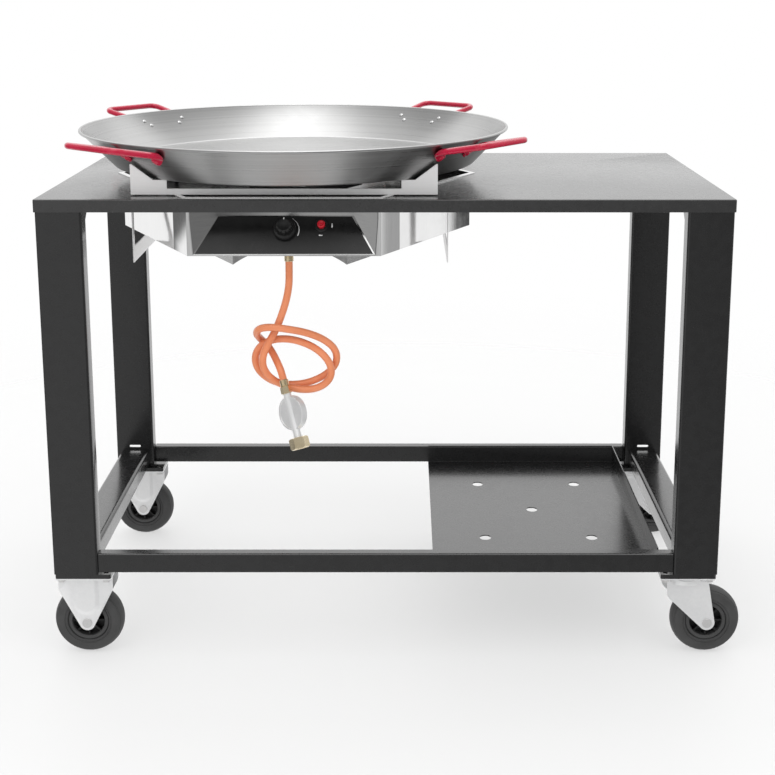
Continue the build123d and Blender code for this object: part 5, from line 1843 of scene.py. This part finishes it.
@dataclass
class PaellaPan:
    """The steel pan with four red handles and their rivets.

    The tip of a handle's rod starts as a share of the pad's thickness and swells to all of it.
    """

    base: float = 0.336
    base_rings: tuple[float, ...] = (0.12, 0.24, 0.31)
    sheet: float = 0.002
    bend: float = 0.010
    bend_steps: int = 10
    bead: float = 0.0026
    bead_steps: int = 20
    rim: float = 0.400
    height: float = 0.067
    segments: int = 256
    handles: dict[str, float] = field(
        default_factory=lambda: {
            "back_right": 51.0,
            "back_left": 141.0,
            "front_left": 231.0,
            "front_right": 321.0,
        }
    )
    pads_apart: float = 0.088
    pad_rise: float = 0.0445
    pad_lean: float = 45.0
    pad_gap: float = 0.00005
    pad_half: float = 0.018
    pad_width: float = 0.0095
    pad_thick: float = 0.002
    pad_bend: float = 0.4
    tip_share: float = 0.6
    tip_swell: float = 300.0
    tip_steps: tuple[float, ...] = (0.0002, 0.0008, 0.0019, 0.0036, 0.0062, 0.0095, 0.0140)
    neck_from: float = 0.027
    neck_to: float = 0.044
    flat_power: float = 0.5
    grip_half: float = 0.0655
    grip_reach: float = 0.482
    grip_rise: float = 0.0685
    rod: float = 0.0055
    rod_start: float = 0.019
    rod_lift: float = 0.0052
    rod_sides: int = 32
    bends: tuple[float, ...] = (0.020, 0.012, 0.016)
    rivet_pitch: float = 0.017
    rivet_head: float = 0.0045
    rivet_rise: float = 0.002

    def __post_init__(self) -> None:
        """Reads the pan's place from the frame and works out the slope of its wall."""
        self.centre = box_foot("pan")
        self.tilt = math.atan2(self.height - self.bead, self.rim - self.bead - self.base)
        self.pad_spread = self.base + self.pad_rise / math.tan(self.tilt)
        self.pad_swing = math.degrees(math.asin(self.pads_apart / 2 / self.pad_spread))

    def build(self) -> None:
        """Builds the pan, its handles and rivets."""
        self.build_pan()
        for name, angle in self.handles.items():
            self.build_handle(name, angle)
        self.build_rivets()

    def pad_place(self, angle: float, lean: float) -> Matrix:
        """Gives the placing of a handle's pad: X along the pad, Z away from the pan's wall.

        Args:
            angle: The pad's place round the pan, in degrees.
            lean: How far its X is turned up the wall, in degrees.

        Returns:
            The placing as a 4x4 matrix.
        """
        turn = math.radians(angle)
        slant = math.radians(lean)
        reach = Vector((math.cos(turn), math.sin(turn), 0))
        out = reach * math.sin(self.tilt) - UP * math.cos(self.tilt)
        along = UP.cross(reach)
        leaning = along * math.cos(slant) + out.cross(along) * math.sin(slant)
        spot = self.centre + reach * self.pad_spread + UP * self.pad_rise + out * self.pad_gap
        return place_on(spot, out, leaning)

    def rod_section(self, path: Sequence[Vector]) -> Section:
        """Gives the handle's section, flat at the pad and round along the rod.

        Args:
            path: Points of half a handle, from the pad's end.

        Returns:
            Offsets across and up by the point's number and the angle round the rod.
        """
        run = [0.0]
        for before, after in zip(path, path[1:]):
            run.append(run[-1] + (after - before).length)

        def section(number: int, angle: float) -> Pair:
            """Gives one point of the section.

            Args:
                number: Number of the point on the path.
                angle: Angle round the rod.

            Returns:
                Offsets across and up.
            """
            share = min(max((run[number] - self.neck_from) / (self.neck_to - self.neck_from), 0.0), 1.0)
            share = share * share * (3 - 2 * share)
            left = max(self.pad_width - run[number], 0.0)
            width = math.sqrt(self.pad_width**2 - left**2)
            width += (self.rod - self.pad_width) * share
            thick = self.pad_thick + (self.rod - self.pad_thick) * share
            thick *= min(1.0, self.tip_share + self.tip_swell * run[number])
            power = self.flat_power + (1 - self.flat_power) * share
            flat, up = math.cos(angle), math.sin(angle)
            across = math.copysign(abs(flat) ** power, flat) * width
            return across, math.copysign(abs(up) ** power, up) * thick

        return section

    def build_handle(self, name: str, angle: float) -> None:
        """Builds one handle: a bent rod whose ends are beaten flat against the wall.

        Args:
            name: The handle's corner of the pan.
            angle: Its place round the pan, in degrees.
        """
        pad = self.pad_place(angle - self.pad_swing, -self.pad_lean)
        turn = math.radians(angle)
        reach = Vector((math.cos(turn), math.sin(turn), 0))
        along = UP.cross(reach)
        grip = self.centre + reach * self.grip_reach + UP * self.grip_rise
        corners = [
            pad @ Vector((self.pad_half, 0, self.pad_thick)),
            pad @ Vector((-self.pad_bend * self.pad_half, 0, self.pad_thick)),
            pad @ Vector((-self.rod_start, 0, self.rod_lift)),
            grip - along * self.grip_half,
            grip,
        ]
        way = (corners[1] - corners[0]).normalized()
        path = [corners[0] + way * step for step in self.tip_steps]
        path += rounded_path(corners, self.bends, self.bend_steps)[1:]
        side = pad.to_3x3().col[1]
        half = swept_rows(path, self.rod_section(path), side, self.rod_sides)
        other = []
        for row in half[-2::-1]:
            other.append([spot - along * (2 * (spot - self.centre).dot(along)) for spot in row])
        mesh = skinned(f"grip_{name}", half + other)
        add_piece(f"grip_{name}", mesh, RED_COAT, "pan", [f"handle_{name}"])

    def build_rivets(self) -> None:
        """Builds the rivet heads: painted with the handles outside, bright inside the pan."""
        outside = []
        inside = []
        for angle in self.handles.values():
            for sign in (-1, 1):
                pad = self.pad_place(angle + sign * self.pad_swing, sign * self.pad_lean)
                out = pad.to_3x3().col[2]
                for shift in (-self.rivet_pitch / 2, self.rivet_pitch / 2):
                    outside.append((pad @ Vector((shift, 0, 2 * self.pad_thick)), out))
                    inside.append((pad @ Vector((shift, 0, -self.sheet - 2 * self.pad_gap)), -out))
        sizes = {"Radius": self.rivet_head, "Rise": self.rivet_rise}
        for name, spots, finish in (
            ("rivets_outside", outside, RED_COAT),
            ("rivets_inside", inside, RIVET_METAL),
        ):
            heads = grown(domed_heads(), name, finish, sizes, facing_points(spots))
            add_piece(name, heads, finish, "pan", ["pan_rivets"])

    def build_pan(self) -> None:
        """Builds the pan as one turned sheet with a rolled rim."""
        place = place_on(self.centre, UP, RIGHT)
        tilt = math.degrees(self.tilt)
        bend_centre = (self.base - self.bend * math.tan(self.tilt / 2), self.bend)
        bead_centre = (self.rim - self.bead, self.height - self.bead)
        lap = math.degrees(math.asin(math.sqrt(self.bead**2 - self.sheet**2) / self.bead))
        rings = [circle(radius, 0.0) for radius in self.base_rings]
        rings += arc(bend_centre, self.bend, -90, tilt - 90, self.bend_steps)
        rings += arc(bead_centre, self.bead, tilt - 180, tilt + 90 + lap, self.bead_steps)
        rings += arc(bend_centre, self.bend - self.sheet, tilt - 90, -90, self.bend_steps)
        rings += [circle(radius, self.sheet) for radius in reversed(self.base_rings)]
        mesh = turned("pan_sheet", capped(0.0, rings, self.sheet), place, self.segments)
        add_piece("pan_sheet", mesh, PAN_STEEL, "pan", ["pan"])


@dataclass(frozen=True)
class Lamp:
    """A soft square lamp, which reflections don't show.

    Attributes:
        name: Name of the lamp.
        spot: Where it stands.
        aim: Where it points.
        size: Its width.
        power: Its power in watts.
    """

    name: str
    spot: Point
    aim: Point
    size: float
    power: float

    def build(self) -> None:
        """Hangs the lamp in the scene."""
        data = bpy.data.lights.new(self.name, "AREA")
        data.size = self.size
        data.energy = self.power
        lamp = put_in_scene(self.name, data)
        lamp.location = self.spot
        lamp.visible_glossy = False
        lamp.rotation_euler = (Vector(self.aim) - Vector(self.spot)).to_track_quat("-Z", "Y").to_euler()


@dataclass
class Studio:
    """The floor, the white room, the lamps and the camera.

    The room's walls are levels of brightness, each pair from left to right, from low to high or
    from the middle out. A step or an edge is where one level fades into the next, by the direction
    that is looked in.
    """

    floor_size: float = 9.0
    floor_colour: Colour = (0.93, 0.93, 0.93)
    floor_rough: float = 0.6
    floor_weight: float = 0.46
    floor_fade: Pair = (1.1, 2.6)
    ambient: float = 0.92
    front_panel: Pair = (0.6, 0.28)
    front_step: Pair = (-0.32, 0.32)
    front_edge: Pair = (-0.6, -0.3)
    side_wall: Pair = (0.14, 0.38)
    side_step: Pair = (-0.2, 0.2)
    upper_wall: float = 0.55
    upper_step: Pair = (0.0, 0.35)
    back_panel: Pair = (1.0, 1.6)
    back_step: Pair = (0.24, 0.45)
    back_edge: Pair = (0.35, 0.5)
    ground: float = 0.9
    ground_edge: Pair = (-0.75, -0.5)
    ceiling: Pair = (2.7, 1.1)
    ceiling_step: Pair = (0.12, 0.5)
    ceiling_edge: Pair = (0.6, 0.85)
    lamps: tuple[Lamp, ...] = (
        Lamp("key_lamp", (-1.9, -2.3, 2.7), (0, 0, 0.6), 2.2, 14.0),
        Lamp("fill_lamp", (2.3, -1.9, 2.0), (0, 0, 0.6), 2.0, 8.0),
        Lamp("top_lamp", (0.0, 0.4, 3.4), (0, 0, 0), 2.6, 14.0),
    )
    camera_at: Point = (0.0114, -2.4584, 1.2033)
    camera_pitch: float = 11.0
    lens: float = 60.56
    sensor: float = 36.0
    shift: Pair = (-0.0205, -0.2)

    def build(self) -> None:
        """Sets the stage."""
        bpy.context.scene.view_settings.view_transform = "Standard"
        self.build_camera()
        self.build_world()
        self.build_floor()
        for lamp in self.lamps:
            lamp.build()

    def build_camera(self) -> None:
        """Sets the camera at the front, above the table and looking a little down."""
        data = bpy.data.cameras.new("camera")
        data.lens = self.lens
        data.sensor_width = self.sensor
        data.shift_x, data.shift_y = self.shift
        camera = put_in_scene("camera", data)
        camera.location = self.camera_at
        camera.rotation_euler = (math.radians(90 - self.camera_pitch), 0, 0)
        bpy.context.scene.camera = camera

    def build_world(self) -> None:
        """Makes the room white to the eye, softer as a light, and lit by panels in reflections."""
        world = bpy.data.worlds.new("white_room")
        world.use_nodes = True
        tree = world.node_tree
        ray = add_node(tree, "ShaderNodeLightPath").outputs
        shiny = math_node(tree, "MAXIMUM", ray["Is Glossy Ray"], ray["Is Transmission Ray"])
        soft = self.ramp(tree, shiny, (0.0, 1.0), (self.ambient, self.panels(tree)))
        strength = self.ramp(tree, ray["Is Camera Ray"], (0.0, 1.0), (soft, 1.0))
        feed(tree, tree.nodes["Background"], {"Color": (1, 1, 1, 1), "Strength": strength})
        bpy.context.scene.world = world

    def panels(self, tree: Tree) -> Socket:
        """Gives the brightness of the room's walls by direction, as reflections see it.

        Args:
            tree: The room's tree.

        Returns:
            The brightness.
        """
        way = add_node(tree, "ShaderNodeTexCoord").outputs["Generated"]
        parts = add_node(tree, "ShaderNodeSeparateXYZ", {"Vector": way}).outputs
        front = self.ramp(tree, parts["X"], self.front_step, self.front_panel)
        side = self.ramp(tree, parts["X"], self.side_step, self.side_wall)
        side = self.ramp(tree, parts["Z"], self.upper_step, (side, self.upper_wall))
        level = self.ramp(tree, parts["Y"], self.front_edge, (front, side))
        back = self.ramp(tree, parts["Z"], self.back_step, self.back_panel)
        level = self.ramp(tree, parts["Y"], self.back_edge, (level, back))
        level = self.ramp(tree, parts["Z"], self.ground_edge, (self.ground, level))
        across = math_node(tree, "ABSOLUTE", parts["X"])
        above = self.ramp(tree, across, self.ceiling_step, self.ceiling)
        return self.ramp(tree, parts["Z"], self.ceiling_edge, (level, above))

    def ramp(self, tree: Tree, value: Socket, source: Pair, target: tuple[object, object]) -> Socket:
        """Adds a soft step between two levels.

        Args:
            tree: Tree that gets the node.
            value: Value that is compared.
            source: Where the step starts and ends.
            target: Level before and after the step.

        Returns:
            The level.
        """
        inputs = {
            "Value": value,
            "From Min": source[0],
            "From Max": source[1],
            "To Min": target[0],
            "To Max": target[1],
        }
        kind = "ShaderNodeMapRange"
        return add_node(tree, kind, inputs, interpolation_type="SMOOTHSTEP").outputs["Result"]

    def build_floor(self) -> None:
        """Lays a pale floor that fades into the white room."""
        shape = bmesh.new()
        bmesh.ops.create_grid(shape, x_segments=1, y_segments=1, size=self.floor_size)
        floor = put_in_scene("floor", to_mesh(shape, "floor"))
        material = bpy.data.materials.new("pale_floor")
        material.use_nodes = True
        tree = material.node_tree
        where = add_node(tree, "ShaderNodeTexCoord").outputs["Object"]
        reach = add_node(tree, "ShaderNodeVectorMath", {0: where}, operation="LENGTH").outputs["Value"]
        inputs = {
            "Base Color": (*self.floor_colour, 1),
            "Roughness": self.floor_rough,
            "Alpha": self.ramp(tree, reach, self.floor_fade, (self.floor_weight, 0.0)),
        }
        feed(tree, tree.nodes["Principled BSDF"], inputs)
        floor.data.materials.append(material)
        floor.visible_glossy = False


def main() -> None:
    """Builds the stage and the object."""
    logging.basicConfig(level=logging.INFO, format="%(name)s: %(message)s")
    for part in (Studio(), GasLine(), Worktable(), Casters(), Burner(), Controls(), PaellaPan()):
        part.build()
        LOG.info("%s is built", type(part).__name__)


if __name__ == "__main__":
    main()
